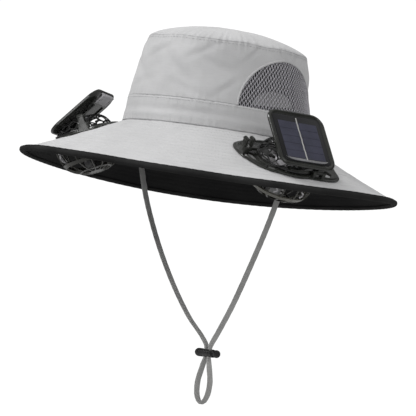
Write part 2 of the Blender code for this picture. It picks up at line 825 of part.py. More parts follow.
def make_impeller(side_name, turn, finish):
    """Hub with twisted blades, drawn out of every other side of the hub."""
    builder = bmesh.new()
    sides = 2 * BLADE_COUNT
    bmesh.ops.create_cone(
        builder, cap_ends=True, segments=sides, radius1=HUB_RADIUS, radius2=HUB_RADIUS, depth=IMPELLER_HEIGHT
    )
    walls = [face for face in builder.faces if abs(face.normal.z) < 0.5]
    walls.sort(key=lambda face: math.atan2(face.calc_center_median().y, face.calc_center_median().x))
    roots = walls[::2]
    side_length = 2.0 * HUB_RADIUS * math.sin(math.pi / sides)
    bmesh.ops.inset_individual(builder, faces=roots, thickness=0.5 * (side_length - BLADE_THICKNESS))
    made = bmesh.ops.extrude_discrete_faces(builder, faces=roots)
    for face in made["faces"]:
        middle = face.calc_center_median()
        outwards = Vector((middle.x, middle.y, 0.0)).normalized()
        twist = Matrix.Rotation(BLADE_TWIST, 3, outwards)
        reach = IMPELLER_RADIUS - middle.to_2d().length - 0.3 * MM
        for vertex in face.verts:
            vertex.co = middle + twist @ (vertex.co - middle) + outwards * reach
    impeller = add_object("fan_impeller_" + side_name, builder, finish)
    impeller.matrix_world = unit_matrix(turn, *FAN_PLACE, FRAME_HEIGHT - 0.5 * IMPELLER_HEIGHT)
    return impeller


def make_motor(side_name, turn, finish):
    """Motor can between the guard's hub and the impeller."""
    floor = guard_level(MOTOR_RADIUS) + GUARD_WALL + GAP
    top = FRAME_HEIGHT - IMPELLER_HEIGHT - GAP
    chamfer = MM
    rows = (
        (MOTOR_RADIUS - chamfer, floor),
        (MOTOR_RADIUS, floor + chamfer),
        (MOTOR_RADIUS, top - 3.0 * chamfer),
        (0.5 * MOTOR_RADIUS, top - 2.0 * chamfer),
        (0.5 * MOTOR_RADIUS, top),
    )
    loops = []
    for radius, height in rows:
        loops.append([unit_point(turn, x, y, height) for x, y in fan_circle(radius, 14)])
    return loft("fan_motor_" + side_name, loops, finish)


# Solar panel


def panel_point(turn, across, up_panel, off):
    """A point of the panel: across from its middle, up from its lower edge, and off its front face."""
    cosine, sine = math.cos(PANEL_TILTS[turn]), math.sin(PANEL_TILTS[turn])
    rise = up_panel - HINGE_INSET
    ahead = off + HINGE_DEPTH
    out = HINGE_OUT - rise * cosine + ahead * sine
    up = HINGE_UP + rise * sine + ahead * cosine
    return unit_point(turn, PANEL_ALONG + across, out, up)


def rounded_square(half, corner, steps=3):
    points = []
    for quarter in range(4):
        middle_x = (half - corner) * (1 if quarter in (0, 3) else -1)
        middle_y = (half - corner) * (1 if quarter in (0, 1) else -1)
        for step in range(steps + 1):
            turn = 0.5 * math.pi * (quarter + step / steps)
            points.append((middle_x + corner * math.cos(turn), middle_y + corner * math.sin(turn)))
    return points


def panel_loop(turn, half, corner, off):
    middle = 0.5 * PANEL_SIDE
    return [panel_point(turn, x, middle + y, off) for x, y in rounded_square(half, corner)]


def make_solar_frame(side_name, turn, finish):
    """Shallow dish with a bulging back, a recess for the cell and a knuckle along its lower edge."""
    half = 0.5 * PANEL_SIDE
    window = half - PANEL_BORDER
    inner_corner = 0.35 * PANEL_CORNER
    recess = CELL_SINK + CELL_THICKNESS + GAP
    rows = (
        (0.55 * half, 0.8 * PANEL_CORNER, -PANEL_BACK),
        (0.86 * half, PANEL_CORNER, -PANEL_EDGE - 0.35 * (PANEL_BACK - PANEL_EDGE)),
        (0.97 * half, PANEL_CORNER, -0.85 * PANEL_EDGE),
        (half, PANEL_CORNER, -0.55 * PANEL_EDGE),
        (half, PANEL_CORNER, -0.2 * PANEL_EDGE),
        (0.97 * half, PANEL_CORNER, 0.0),
        (window, inner_corner, 0.0),
        (window, inner_corner, -recess),
    )
    loops = [panel_loop(turn, size, corner, off) for size, corner, off in rows]
    frame = loft("solar_frame_" + side_name, loops, finish)
    start, end = hinge_span()
    knuckle = rod_along("knuckle", HINGE_OUT, HINGE_UP, HINGE_RADIUS, start, end)
    set_in_unit(knuckle, turn)
    carve(frame, knuckle, "UNION")
    carve(frame, knuckle_web(turn), "UNION")
    carve(frame, prop_leg(turn), "UNION")
    bore = rod_along("bore", HINGE_OUT, HINGE_UP, PIN_RADIUS + GAP, start - MM, end + MM)
    set_in_unit(bore, turn)
    return carve(frame, bore)


def knuckle_web(turn):
    """Joins the knuckle to the panel's back."""
    start, end = hinge_span()
    low, high = start - PANEL_ALONG, end - PANEL_ALONG
    thick = 0.6 * HINGE_RADIUS
    corners = ((low, HINGE_INSET - thick), (high, HINGE_INSET - thick))
    corners += ((high, HINGE_INSET + thick), (low, HINGE_INSET + thick))
    loops = []
    for off in (-HINGE_DEPTH, -0.7 * PANEL_EDGE):
        loops.append([panel_point(turn, x, y, off) for x, y in corners])
    return loft("web", loops, None)


def prop_leg(turn):
    """Short leg from the dish's back, standing just clear of the grille's hub."""
    half = 0.5 * LEG_WIDTH
    foot_along, foot_out = LEG_FOOT
    foot_up = grille_level(0.0) + GAP
    loops = []
    for shift in (-0.5 * LEG_THICKNESS, 0.5 * LEG_THICKNESS):
        top_low = panel_point(turn, foot_along - PANEL_ALONG - half, LEG_TOP + shift, -0.8 * PANEL_EDGE)
        top_high = panel_point(turn, foot_along - PANEL_ALONG + half, LEG_TOP + shift, -0.8 * PANEL_EDGE)
        foot_low = brim_place(turn, foot_along - half, foot_out - shift, foot_up)
        foot_high = brim_place(turn, foot_along + half, foot_out - shift, foot_up)
        loops.append([top_low, top_high, foot_high, foot_low])
    return loft("leg", loops, None)


def make_solar_cell(side_name, turn, finish):
    half = 0.5 * PANEL_SIDE - PANEL_BORDER - GAP
    corner = 0.35 * PANEL_CORNER
    loops = [
        panel_loop(turn, half, corner, -CELL_SINK - CELL_THICKNESS),
        panel_loop(turn, half, corner, -CELL_SINK),
    ]
    return loft("solar_cell_" + side_name, loops, finish)


def make_hinge_pin(side_name, turn, finish):
    start, end = hinge_span()
    reach = EAR_LENGTH + 2.0 * GAP
    pin = rod_along("hinge_pin_" + side_name, HINGE_OUT, HINGE_UP, PIN_RADIUS, start - reach, end + reach)
    pin.data.materials.append(finish)
    set_in_unit(pin, turn)
    return pin


# Chin cord


def cord_curve(count):
    """Evenly spaced points of a smooth curve through the route."""
    route = [Vector((x, 0.0, z)) for x, z in CORD_ROUTE]
    fine = []
    for index in range(len(route) - 1):
        before = route[max(index - 1, 0)]
        start, end = route[index], route[index + 1]
        after = route[min(index + 2, len(route) - 1)]
        for step in range(12):
            share = step / 12
            bent = (
                2.0 * start
                + (end - before) * share
                + (2.0 * before - 5.0 * start + 4.0 * end - after) * share ** 2
                + (3.0 * start - before - 3.0 * end + after) * share ** 3
            )
            fine.append(0.5 * bent)
    fine.append(route[-1])
    lengths = [0.0]
    for start, end in zip(fine, fine[1:]):
        lengths.append(lengths[-1] + (end - start).length)
    points = []
    index = 0
    for step in range(count):
        target = lengths[-1] * step / (count - 1)
        while index < len(fine) - 2 and lengths[index + 1] < target:
            index += 1
        share = (target - lengths[index]) / (lengths[index + 1] - lengths[index])
        points.append(fine[index].lerp(fine[index + 1], share))
    return points


def make_cord(finish):
    points = cord_curve(CORD_POINTS)
    curve = bpy.data.curves.new("chin_cord", "CURVE")
    curve.dimensions = "3D"
    curve.bevel_depth = CORD_RADIUS
    curve.bevel_resolution = 2
    curve.use_fill_caps = True
    spline = curve.splines.new("POLY")
    spline.points.add(len(points) - 1)
    for target, point in zip(spline.points, points):
        target.co = (*point, 1.0)
    curve.materials.append(finish)
    cord = bpy.data.objects.new("chin_cord", curve)
    bpy.context.scene.collection.objects.link(cord)
    return cord


def make_cord_tab(side_name, turn, finish):
    """Sewn tab under the brim that the cord hangs from."""
    phi = turn * 0.5 * math.pi
    middle = (TAB_REACH - 0.5 * CROWN_WIDTH) / (0.5 * (BRIM_WIDTH - CROWN_WIDTH))
    reach = 0.5 * TAB_LENGTH / brim_slant()
    half_turn = 0.5 * TAB_WIDTH / TAB_REACH
    top = -2.0 * CLOTH - 2.0 * GAP
    loops = []
    for lift in (top - TAB_THICKNESS, top):
        corners = ((-1, -1), (1, -1), (1, 1), (-1, 1))
        loops.append([brim_point(phi + a * half_turn, middle + b * reach, lift) for a, b in corners])
    return loft("cord_tab_" + side_name, loops, finish)


def slot_reach():
    """Half the length of the space that the two strands of cord need along X."""
    return 0.5 * STRAND_SPREAD + CORD_RADIUS + SLOT_CLEARANCE


def lock_ends():
    """Ends of the lock's barrel along X; the plunger's head stands off its far end."""
    start = LOCK_PLACE[0] - 0.5 * LOCK_LENGTH
    return start, start + LOCK_LENGTH - LOCK_HEAD - LOCK_STROKE - GAP


def oval_loop(x, half_width, half_height, sides=16):
    loop = []
    for step in range(sides):
        turn = math.tau * step / sides
        loop.append(Vector((x, half_width * math.cos(turn), LOCK_PLACE[2] + half_height * math.sin(turn))))
    return loop


def lock_box(name, low_x, high_x, half_width, half_height):
    low = (low_x, -half_width, LOCK_PLACE[2] - half_height)
    high = (high_x, half_width, LOCK_PLACE[2] + half_height)
    return box(name, low, high)


def make_lock_barrel(finish):
    """Oval barrel with a bore for the plunger and a slot right through for the cord."""
    start, end = lock_ends()
    half_width, half_height = 0.5 * LOCK_WIDTH, 0.5 * LOCK_HEIGHT
    rows = ((start, 0.72), (start + 1.5 * MM, 1.0), (end - 3.0 * MM, 1.0), (end - 1.8 * MM, 0.94), (end, 0.94))
    loops = [oval_loop(x, half_width * share, half_height * share) for x, share in rows]
    barrel = loft("cord_lock_barrel", loops, finish)
    bore_width = 0.5 * STEM_WIDTH + STEM_CLEARANCE
    bore_height = 0.5 * STEM_HEIGHT + STEM_CLEARANCE
    bore_start = LOCK_PLACE[0] - slot_reach() - LOCK_STROKE - 2.0 * MM
    carve(barrel, lock_box("bore", bore_start, end + MM, bore_width, bore_height))
    middle, reach = LOCK_PLACE[0], slot_reach()
    slot_width = CORD_RADIUS + SLOT_CLEARANCE
    return carve(barrel, lock_box("slot", middle - reach, middle + reach, slot_width, LOCK_HEIGHT))


def make_lock_plunger(finish):
    """Stem with a window that leaves room for the cord over the whole stroke, and a domed head."""
    _, end = lock_ends()
    middle, reach = LOCK_PLACE[0], slot_reach()
    stem_start = middle - reach - 1.6 * MM
    head_start = end + GAP + LOCK_STROKE
    rows = ((head_start, 1.0), (head_start + 0.6 * LOCK_HEAD, 0.96), (head_start + LOCK_HEAD, 0.6))
    half_width, half_height = 0.47 * LOCK_WIDTH, 0.47 * LOCK_HEIGHT
    loops = [oval_loop(x, half_width * share, half_height * share) for x, share in rows]
    plunger = loft("cord_lock_plunger", loops, finish)
    stem = lock_box("stem", stem_start, head_start + 0.5 * MM, 0.5 * STEM_WIDTH, 0.5 * STEM_HEIGHT)
    carve(plunger, stem, "UNION")
    window_width = CORD_RADIUS + SLOT_CLEARANCE
    window_end = middle + reach + LOCK_STROKE
    return carve(plunger, lock_box("window", middle - reach, window_end, window_width, LOCK_HEIGHT))


def make_unit(side_name, turn, paint):
    make_fan_frame(side_name, turn, paint["black plastic"])
    make_grille(side_name, turn, paint["black plastic"])
    make_impeller(side_name, turn, paint["smoky plastic"])
    make_motor(side_name, turn, paint["motor metal"])
    make_guard(side_name, turn, paint["smoky plastic"])
    make_solar_frame(side_name, turn, paint["black plastic"])
    make_solar_cell(side_name, turn, paint["solar cell"])
    make_hinge_pin(side_name, turn, paint["steel"])


def build():
    clear_scene()
    paint = {
        "grey cloth": material("grey cloth", (0.52, 0.52, 0.53), 0.85),
        "dark cloth": material("dark cloth", (0.02, 0.02, 0.022), 0.8),
        "net": material("net", (0.36, 0.37, 0.40), 0.8),
        "black plastic": material("black plastic", (0.018, 0.019, 0.02), 0.38),
        "smoky plastic": material("smoky plastic", (0.25, 0.25, 0.24), 0.15, alpha=0.6),
        "motor metal": material("motor metal", (0.45, 0.45, 0.45), 0.35, metallic=1.0),
        "steel": material("steel", (0.6, 0.6, 0.6), 0.3, metallic=1.0),
        "solar cell": material("solar cell", (0.02, 0.025, 0.07), 0.2),
        "grey cord": material("grey cord", (0.20, 0.20, 0.20), 0.8),
    }
    make_crown_top(paint["grey cloth"])
    make_crown_side(paint["grey cloth"])
    make_crown_band(paint["grey cloth"])
    brim_layer("brim_top", 0.0, paint["grey cloth"])
    brim_layer("brim_underside", -CLOTH - GAP, paint["dark cloth"])
    make_binding(paint["dark cloth"])
    for side_name, turn in SIDES.items():
        make_mesh_panel(side_name, turn, paint["net"])
        make_unit(side_name, turn, paint)
        make_cord_tab(side_name, turn, paint["dark cloth"])
    make_cord(paint["grey cord"])
    make_lock_barrel(paint["black plastic"])
    make_lock_plunger(paint["black plastic"])


build()
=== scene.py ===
"""Looks of the solar fan hat: cloth, net, cord, fan units, light and camera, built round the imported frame.

Lengths are in metres, in the frame of the CAD: +Z up, the hat's front faces -Y, the wearer's left is +X.
Angles round the hat (phi) start at the front and turn towards the wearer's left.
"""

import math
from contextlib import contextmanager

import bmesh
import bpy
import numpy
from mathutils import Matrix, Vector, noise


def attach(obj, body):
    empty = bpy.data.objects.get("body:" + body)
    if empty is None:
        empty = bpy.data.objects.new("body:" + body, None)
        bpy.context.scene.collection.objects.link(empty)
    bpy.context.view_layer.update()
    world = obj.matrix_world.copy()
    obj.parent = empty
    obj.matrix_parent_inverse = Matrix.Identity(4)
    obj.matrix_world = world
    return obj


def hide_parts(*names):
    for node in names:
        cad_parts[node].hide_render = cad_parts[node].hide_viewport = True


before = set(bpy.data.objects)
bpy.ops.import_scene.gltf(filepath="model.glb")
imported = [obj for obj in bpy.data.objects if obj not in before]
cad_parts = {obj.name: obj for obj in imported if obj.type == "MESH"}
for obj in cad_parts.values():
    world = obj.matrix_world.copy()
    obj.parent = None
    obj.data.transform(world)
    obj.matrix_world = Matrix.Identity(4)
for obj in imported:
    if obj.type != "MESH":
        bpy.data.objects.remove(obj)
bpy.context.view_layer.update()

MM = 0.001
ROOT = "root"
SIDES = {"left": 1, "right": -1}

# Sizes shared with the CAD
GAP = 0.3 * MM
CLOTH = 1.2 * MM
UNDERSIDE = -2.0 * CLOTH - GAP
CROWN_LENGTH = 197.6 * MM
CROWN_WIDTH = 175.8 * MM
MEAN_RADIUS = 0.25 * (CROWN_LENGTH + CROWN_WIDTH)
SEAM_HEIGHT = 87.0 * MM
BAND_HEIGHT = 24.8 * MM
TOP_RISE = 17.5 * MM
FOLD_DEPTH = 0.9 * MM
FOLD_COUNT = 5
PUCKER_DEPTH = 0.7 * MM
PUCKER_COUNT = 9
CROWN_PROFILE = ((0.00, 1.000), (0.28, 0.971), (0.42, 0.952), (0.57, 0.926), (0.84, 0.884), (1.00, 0.840))
TOP_ROUNDNESS = 0.75
BRIM_LENGTH = 388.4 * MM
BRIM_WIDTH = 364.4 * MM
BRIM_DROP = 47.4 * MM
BRIM_SHIFT = -2.4 * MM
RIM_NOD = 1.2 * MM
RIM_WAVE = 5.3 * MM
BINDING_WIDTH = 6.5 * MM
BINDING_WALL = 1.0 * MM
MESH_HALF_ANGLE = math.radians(36.5)
MESH_HEIGHT = 51.0 * MM
UNIT_ANGLES = {1: math.radians(72.0), -1: math.radians(-64.0)}
UNIT_SHARES = {1: 0.50, -1: 0.38}
PANEL_TILTS = {1: math.radians(26.0), -1: math.radians(23.0)}
SMALL_ANGLE = 0.002
FRAME_LENGTH = 114.0 * MM
FRAME_WIDTH = 62.0 * MM
FRAME_HEIGHT = 3.3 * MM
FRAME_CENTRE = (9.0 * MM, 1.0 * MM)
FRAME_OUTLINE = (
    (-0.98, -0.80), (-1.00, -0.17), (-0.91, 0.30), (-0.80, 0.61), (-0.65, 0.81), (-0.41, 0.93), (-0.12, 0.99),
    (0.19, 1.00), (0.46, 0.92), (0.68, 0.74), (0.84, 0.42), (0.93, -0.07), (1.01, -0.60), (0.88, -1.02),
    (0.37, -1.24), (-0.25, -1.25), (-0.78, -1.08),
)
FRONT_OPENING = ((-0.87, 0.20), (-0.90, -0.08), (-0.85, -0.30), (-0.77, -0.20), (-0.77, 0.10))
BACK_OPENING = ((0.45, 0.36), (0.57, 0.18), (0.66, 0.40), (0.52, 0.70), (0.42, 0.68))
CLIP_PLACE = (-43.0 * MM, -8.5 * MM)
EAR_SPANS = ((13.9 * MM, 17.3 * MM), (24.3 * MM, 27.7 * MM))
KNUCKLE_SPAN = (17.6 * MM, 24.0 * MM)
SCREW_PLACES = ((-33.0, 19.5), (41.0, -22.0), (-30.0, -26.0), (44.0, 4.0))
FAN_PLACE = (-3.0 * MM, 3.0 * MM)
DUCT_RADIUS = 25.8 * MM
DUCT_WALL = 1.5 * MM
GRILLE_RADIUS = 29.0 * MM
GRILLE_RISE = 9.5 * MM
GRILLE_WALL = 1.4 * MM
GRILLE_FULLNESS = 2.4
BLADES = 7
PANEL_SIDE = 65.0 * MM
SHOWN_BORDER = 4.9 * MM
PANEL_EDGE = 4.5 * MM
PANEL_CORNER = 12.0 * MM
PANEL_ALONG = 5.0 * MM
CELL_ROWS = 5
HINGE_OUT = 28.0 * MM
HINGE_UP = 7.0 * MM
HINGE_RADIUS = 2.8 * MM
HINGE_INSET = 1.6 * MM
LEG_PLACE = (-3.0 * MM, -1.0 * MM)
HINGE_DEPTH = PANEL_EDGE + HINGE_RADIUS + GAP + 0.1 * MM
LOCK_PLACE = (27.0 * MM, 0.0, -213.5 * MM)
CORD_ROUTE = (
    (-0.0980, -0.0115), (-0.0925, -0.0330), (-0.0790, -0.0690), (-0.0570, -0.1090), (-0.0300, -0.1480),
    (-0.0040, -0.1790), (0.0150, -0.1960), (0.0236, -0.2055), (0.0245, -0.2115), (0.0244, -0.2180),
    (0.0220, -0.2280), (0.0190, -0.2420), (0.0206, -0.2555), (0.0270, -0.2630), (0.0334, -0.2555),
    (0.0350, -0.2420), (0.0320, -0.2280), (0.0296, -0.2180), (0.0295, -0.2115), (0.0306, -0.2050),
    (0.0390, -0.1890), (0.0520, -0.1610), (0.0675, -0.1190), (0.0815, -0.0780), (0.0930, -0.0370),
    (0.0980, -0.0115),
)

# The photograph's camera
VIEW_AZIMUTH = math.radians(40.0)
VIEW_ELEVATION = math.radians(-2.76)
VIEW_ROLL = math.radians(7.87)
VIEW_DISTANCE = 4.0
VIEW_LENS = 353.1
VIEW_SHIFT = (-0.00814, -0.07206)

# Cord
CORD_WIDTH = 8.0 * MM
CORD_THICKNESS = 1.5 * MM
CORD_LENGTH = 0.561
CORD_STEPS = 150
TAB_OUT = 98.0 * MM
TAB_HALF = (6.0 * MM, 7.0 * MM)

# Stitches and cloth detail
AROUND = 480
STITCH_ROW_PITCH = 6.8 * MM
STITCH_PITCH = 3.3 * MM
STITCH_LENGTH = 2.3 * MM
STITCH_WIDTH = 0.5 * MM
CHANNEL_DEPTH = 0.3 * MM
NET_PITCH = (4.2 * MM, 5.8 * MM)
NET_STRAND = 0.82 * MM

# Light: the world's strength by a ray's rise, as ambient light and as seen in gloss, then the lamps
FLOOR_LEVEL = -0.42
FLOOR_GLOW = 0.55
WORLD_SEEN = 1.05
AMBIENT = {"From Min": -0.6, "From Max": 0.7, "To Min": 0.42, "To Max": 0.80}
GLOSS_ABOVE = {"From Min": 0.45, "From Max": 0.75, "To Min": 0.10, "To Max": 0.42}
GLOSS_BELOW = {"From Min": -0.10, "From Max": -0.45, "To Min": 0.0, "To Max": 0.55}
LAMPS = {
    "key": ((-1.5, -1.7, 2.3), 1.3, 56.0),
    "fill": ((2.4, -1.3, 1.2), 1.6, 11.0),
    "front": ((0.4, -2.7, 0.2), 1.0, 11.0),
}

# Materials: two tones, then for cloth the thread, roughness, depth, sheen and shine,
# for thread the sheen, and for plastic and metal the roughness and any settings of the shader
CLOTHS = {
    "grey_cloth": ((0.46, 0.46, 0.465), (0.52, 0.52, 0.525), 0.62 * MM, 0.8, 0.12 * MM),
    "brim_cloth": ((0.47, 0.47, 0.475), (0.517, 0.517, 0.522), 0.62 * MM, 0.8, 0.12 * MM),
    "dark_cloth": ((0.008, 0.008, 0.0082), (0.014, 0.014, 0.0142), 0.7 * MM, 0.85, 0.15 * MM, 0.0, 0.08),
    "binding": ((0.016, 0.016, 0.016), (0.028, 0.028, 0.028), 0.7 * MM, 0.85, 0.15 * MM, 0.0, 0.08),
    # Dark paint for the crown's inner faces: painted shade inside the hat
    "inside_painted_shade": ((0.035, 0.034, 0.037), (0.055, 0.054, 0.057), 0.8 * MM, 0.8, 0.12 * MM, 0.0, 0.1),
    "grey_cord": ((0.30, 0.30, 0.292), (0.43, 0.43, 0.42), 0.9 * MM, 0.7, 0.25 * MM),
}
THREADS = {
    "grey_thread": ((0.40, 0.40, 0.405), (0.56, 0.56, 0.565)),
    "dark_thread": ((0.006, 0.006, 0.0065), (0.016, 0.016, 0.017), 0.0),
    "brim_thread": ((0.46, 0.46, 0.465), (0.62, 0.62, 0.625)),
    "seam_thread": ((0.30, 0.30, 0.305), (0.44, 0.44, 0.445)),
    "net": ((0.40, 0.39, 0.42), (0.52, 0.51, 0.54)),
}
PLASTICS = {
    "black_plastic": ((0.011, 0.012, 0.010), (0.020, 0.021, 0.018), 0.24, {"Coat Weight": 0.25}),
    "gloss_black": ((0.010, 0.010, 0.010), (0.02, 0.02, 0.02), 0.2),
    "grey_plastic": ((0.10, 0.10, 0.105), (0.15, 0.15, 0.155), 0.35),
    "laminate": (
        (0.006, 0.006, 0.007), (0.010, 0.010, 0.012), 0.16, {"Coat Weight": 0.15, "Specular IOR Level": 0.25},
    ),
    # Pale plastic of the impeller; on the guard's posts and the panel's back plate the same pale paint is
    # painted light
    "pale_plastic_and_painted_light": ((0.50, 0.49, 0.51), (0.60, 0.59, 0.61), 0.3),
    # Grey of the resin strip at the cell's lower edge: a painted reflection on the raised bevel
    "resin": ((0.12, 0.12, 0.127), (0.17, 0.17, 0.18), 0.2),
    "olive_clear": ((0.15, 0.145, 0.12), (0.20, 0.195, 0.165), 0.24, {"Transmission Weight": 0.3}),
    # The same band as olive_clear in a darker copy: painted shade for the unit on the wearer's right
    "olive_painted_shade": ((0.045, 0.044, 0.036), (0.07, 0.068, 0.057), 0.2, {"Transmission Weight": 0.3}),
    "smoke": ((0.07, 0.068, 0.058), (0.11, 0.107, 0.092), 0.12, {"Transmission Weight": 0.4, "IOR": 1.49}),
    "lock_plastic": ((0.012, 0.012, 0.012), (0.03, 0.03, 0.03), 0.45),
}
METALS = {
    "motor_metal": ((0.16, 0.16, 0.165), (0.24, 0.24, 0.24), 0.4),
    "steel": ((0.55, 0.55, 0.56), (0.66, 0.66, 0.66), 0.28),
    "silver": ((0.72, 0.72, 0.70), (0.88, 0.88, 0.86), 0.30),
}


# Camera, light and floor


def make_camera():
    back = Vector((
        math.sin(VIEW_AZIMUTH) * math.cos(VIEW_ELEVATION),
        -math.cos(VIEW_AZIMUTH) * math.cos(VIEW_ELEVATION),
        math.sin(VIEW_ELEVATION),
    ))
    level = Vector((math.cos(VIEW_AZIMUTH), math.sin(VIEW_AZIMUTH), 0.0))
    rise = back.cross(level)
    right = level * math.cos(VIEW_ROLL) + rise * math.sin(VIEW_ROLL)
    up = rise * math.cos(VIEW_ROLL) - level * math.sin(VIEW_ROLL)
    data = bpy.data.cameras.new("camera")
    data.lens = VIEW_LENS
    data.sensor_width = 36.0
    data.clip_end = 100.0
    camera = bpy.data.objects.new("camera", data)
    place = back * VIEW_DISTANCE + right * VIEW_SHIFT[0] + up * VIEW_SHIFT[1]
    camera.matrix_world = Matrix.Translation(place) @ Matrix((right, up, back)).transposed().to_4x4()
    bpy.context.scene.collection.objects.link(camera)
    bpy.context.scene.camera = camera


def add_light(name, place, size, power, target=(0.0, 0.0, -0.02)):
    data = bpy.data.lights.new(name, "AREA")
    data.size = size
    data.energy = power
    lamp = bpy.data.objects.new(name, data)
    lamp.location = place
    lamp.rotation_euler = (Vector(target) - Vector(place)).to_track_quat("-Z", "Y").to_euler()
    bpy.context.scene.collection.objects.link(lamp)


def make_studio():
    """A pale floor and even white light, brighter from above and from the camera's left."""
    scene = bpy.context.scene
    scene.view_settings.view_transform = "Standard"
    world = bpy.data.worlds.new("studio")
    world.use_nodes = True
    tree = world.node_tree
    tree.nodes.clear()
    rise = node(tree, "SeparateXYZ", {0: node(tree, "TexCoord").outputs["Generated"]}).outputs["Z"]
    path = node(tree, "LightPath").outputs
    ambient = node(tree, "MapRange", {"Value": rise, **AMBIENT})
    above = node(tree, "MapRange", {"Value": rise, **GLOSS_ABOVE})
    below = node(tree, "MapRange", {"Value": rise, **GLOSS_BELOW})
    gloss = node(tree, "Math", {0: above.outputs[0], 1: below.outputs[0]}, operation="ADD").outputs[0]
    strength = ambient.outputs[0]
    for flag in ("Is Glossy Ray", "Is Transmission Ray"):
        strength = node(tree, "Mix", {0: path[flag], 2: strength, 3: gloss}).outputs[0]
    seen = node(tree, "Mix", {0: path["Is Camera Ray"], 2: strength, 3: WORLD_SEEN}).outputs[0]
    shade = node(tree, "Background", {"Color": (1.0, 1.0, 1.0, 1.0), "Strength": seen})
    output = tree.nodes.new("ShaderNodeOutputWorld")
    tree.links.new(shade.outputs[0], output.inputs[0])
    scene.world = world
    for name, facts in LAMPS.items():
        add_light(name, *facts)
    corners = [[Vector((x, y, FLOOR_LEVEL)) for x in (-40.0, 40.0)] for y in (-40.0, 40.0)]
    floor = grid_mesh("floor", corners, wrap=False)
    paint = bpy.data.materials.new("floor")
    paint.use_nodes = True
    shader = paint.node_tree.nodes["Principled BSDF"]
    shader.inputs["Base Color"].default_value = (0.9, 0.9, 0.9, 1.0)
    shader.inputs["Roughness"].default_value = 0.9
    shader.inputs["Emission Color"].default_value = (1.0, 1.0, 1.0, 1.0)
    shader.inputs["Emission Strength"].default_value = FLOOR_GLOW
    floor.data.materials.append(paint)
    floor.visible_diffuse = False
    floor.visible_glossy = False
    floor.visible_transmission = False


# Meshes


def finish_mesh(name, points, faces, uvs=None):
    mesh = bpy.data.meshes.new(name)
    mesh.from_pydata(points, [], faces)
    if uvs:
        layer = mesh.uv_layers.new(name="cloth")
        for entry, uv in zip(layer.data, uvs):
            entry.uv = uv
    mesh.shade_smooth()
    made = bpy.data.objects.new(name, mesh)
    bpy.context.scene.collection.objects.link(made)
    return made


def grid_mesh(name, rows, wrap=True, close=False, caps=False, across=None, along=None):
    """Skins equal rows of points. across and along are the lengths that UV coordinates count, in metres."""
    count = len(rows[0])
    points = [point for row in rows for point in row]
    faces, uvs = [], []
    row_count = len(rows)
    u_marks = across or [index * MM for index in range(count + 1)]
    v_marks = along or [index * MM for index in range(row_count + 1)]
    for low in range(row_count if close else row_count - 1):
        high = (low + 1) % row_count
        for start in range(count if wrap else count - 1):
            end = (start + 1) % count
            faces.append((low * count + start, low * count + end, high * count + end, high * count + start))
            left, right = u_marks[start], u_marks[start + 1]
            bottom, top = v_marks[low], v_marks[low + 1]
            uvs += [(left, bottom), (right, bottom), (right, top), (left, top)]
    if caps:
        faces.append(tuple(range(count)))
        faces.append(tuple((row_count - 1) * count + index for index in range(count)))
        uvs += [(u_marks[index], v_marks[0]) for index in range(count)]
        uvs += [(u_marks[index], v_marks[0]) for index in range(count)]
    made = finish_mesh(name, points, faces, uvs=uvs)
    face_out(made)
    return made


@contextmanager
def editing(item):
    """A bmesh of a piece, written back at the end."""
    builder = bmesh.new()
    builder.from_mesh(item.data)
    yield builder
    builder.to_mesh(item.data)
    builder.free()


def face_out(item):
    with editing(item) as builder:
        bmesh.ops.recalc_face_normals(builder, faces=builder.faces)
        if builder.calc_volume(signed=True) < 0.0:
            bmesh.ops.reverse_faces(builder, faces=builder.faces[:])


def face_out_each(item):
    """Turns the faces of many separate solids outwards."""
    with editing(item) as builder:
        bmesh.ops.recalc_face_normals(builder, faces=builder.faces)


def skin_rings(faces, first, rings, sides, close=False, caps=True):
    """Faces between equal rings of points that follow each other, and over the two ends."""
    for ring in range(rings if close else rings - 1):
        low, high = first + sides * ring, first + sides * ((ring + 1) % rings)
        for corner in range(sides):
            after = (corner + 1) % sides
            faces.append((low + corner, low + after, high + after, high + corner))
    if caps:
        last = first + sides * (rings - 1)
        faces.append(tuple(first + corner for corner in range(sides - 1, -1, -1)))
        faces.append(tuple(last + corner for corner in range(sides)))


def sharpen(item, degrees=38.0):
    item.data.shade_smooth()
    item.data.set_sharp_from_angle(angle=math.radians(degrees))


def dress(item, paint, slot_name, body=ROOT, *nodes):
    """Gives a piece its material, the body it rides on and the CAD nodes it stands for."""
    item.data.materials.clear()
    item.data.materials.append(paint)
    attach(item, body)
    if nodes:
        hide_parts(*nodes)
    return item


def carve(target, tool, operation="DIFFERENCE"):
    step = target.modifiers.new("carve", "BOOLEAN")
    step.operation = operation
    step.solver = "EXACT"
    step.object = tool
    bpy.context.view_layer.update()
    graph = bpy.context.evaluated_depsgraph_get()
    result = bpy.data.meshes.new_from_object(target.evaluated_get(graph))
    target.modifiers.remove(step)
    target.data = result
    bpy.data.objects.remove(tool, do_unlink=True)


# Materials


def node(tree, kind, inputs=(), **settings):
    made = tree.nodes.new("ShaderNode" + kind)
    for key, value in settings.items():
        setattr(made, key, value)
    for key, value in dict(inputs).items():
        if isinstance(value, bpy.types.NodeSocket):
            tree.links.new(value, made.inputs[key])
        else:
            made.inputs[key].default_value = value
    return made


def new_paint(name, plain=()):
    paint = bpy.data.materials.new(name)
    paint.use_nodes = True
    for key, value in dict(plain).items():
        paint.node_tree.nodes["Principled BSDF"].inputs[key].default_value = value
    return paint, paint.node_tree


def link_paint(paint, colour, rough, bump):
    shader = paint.node_tree.nodes["Principled BSDF"]
    paint.node_tree.links.new(colour, shader.inputs["Base Color"])
    paint.node_tree.links.new(rough.outputs[0], shader.inputs["Roughness"])
    paint.node_tree.links.new(bump.outputs[0], shader.inputs["Normal"])
    return paint


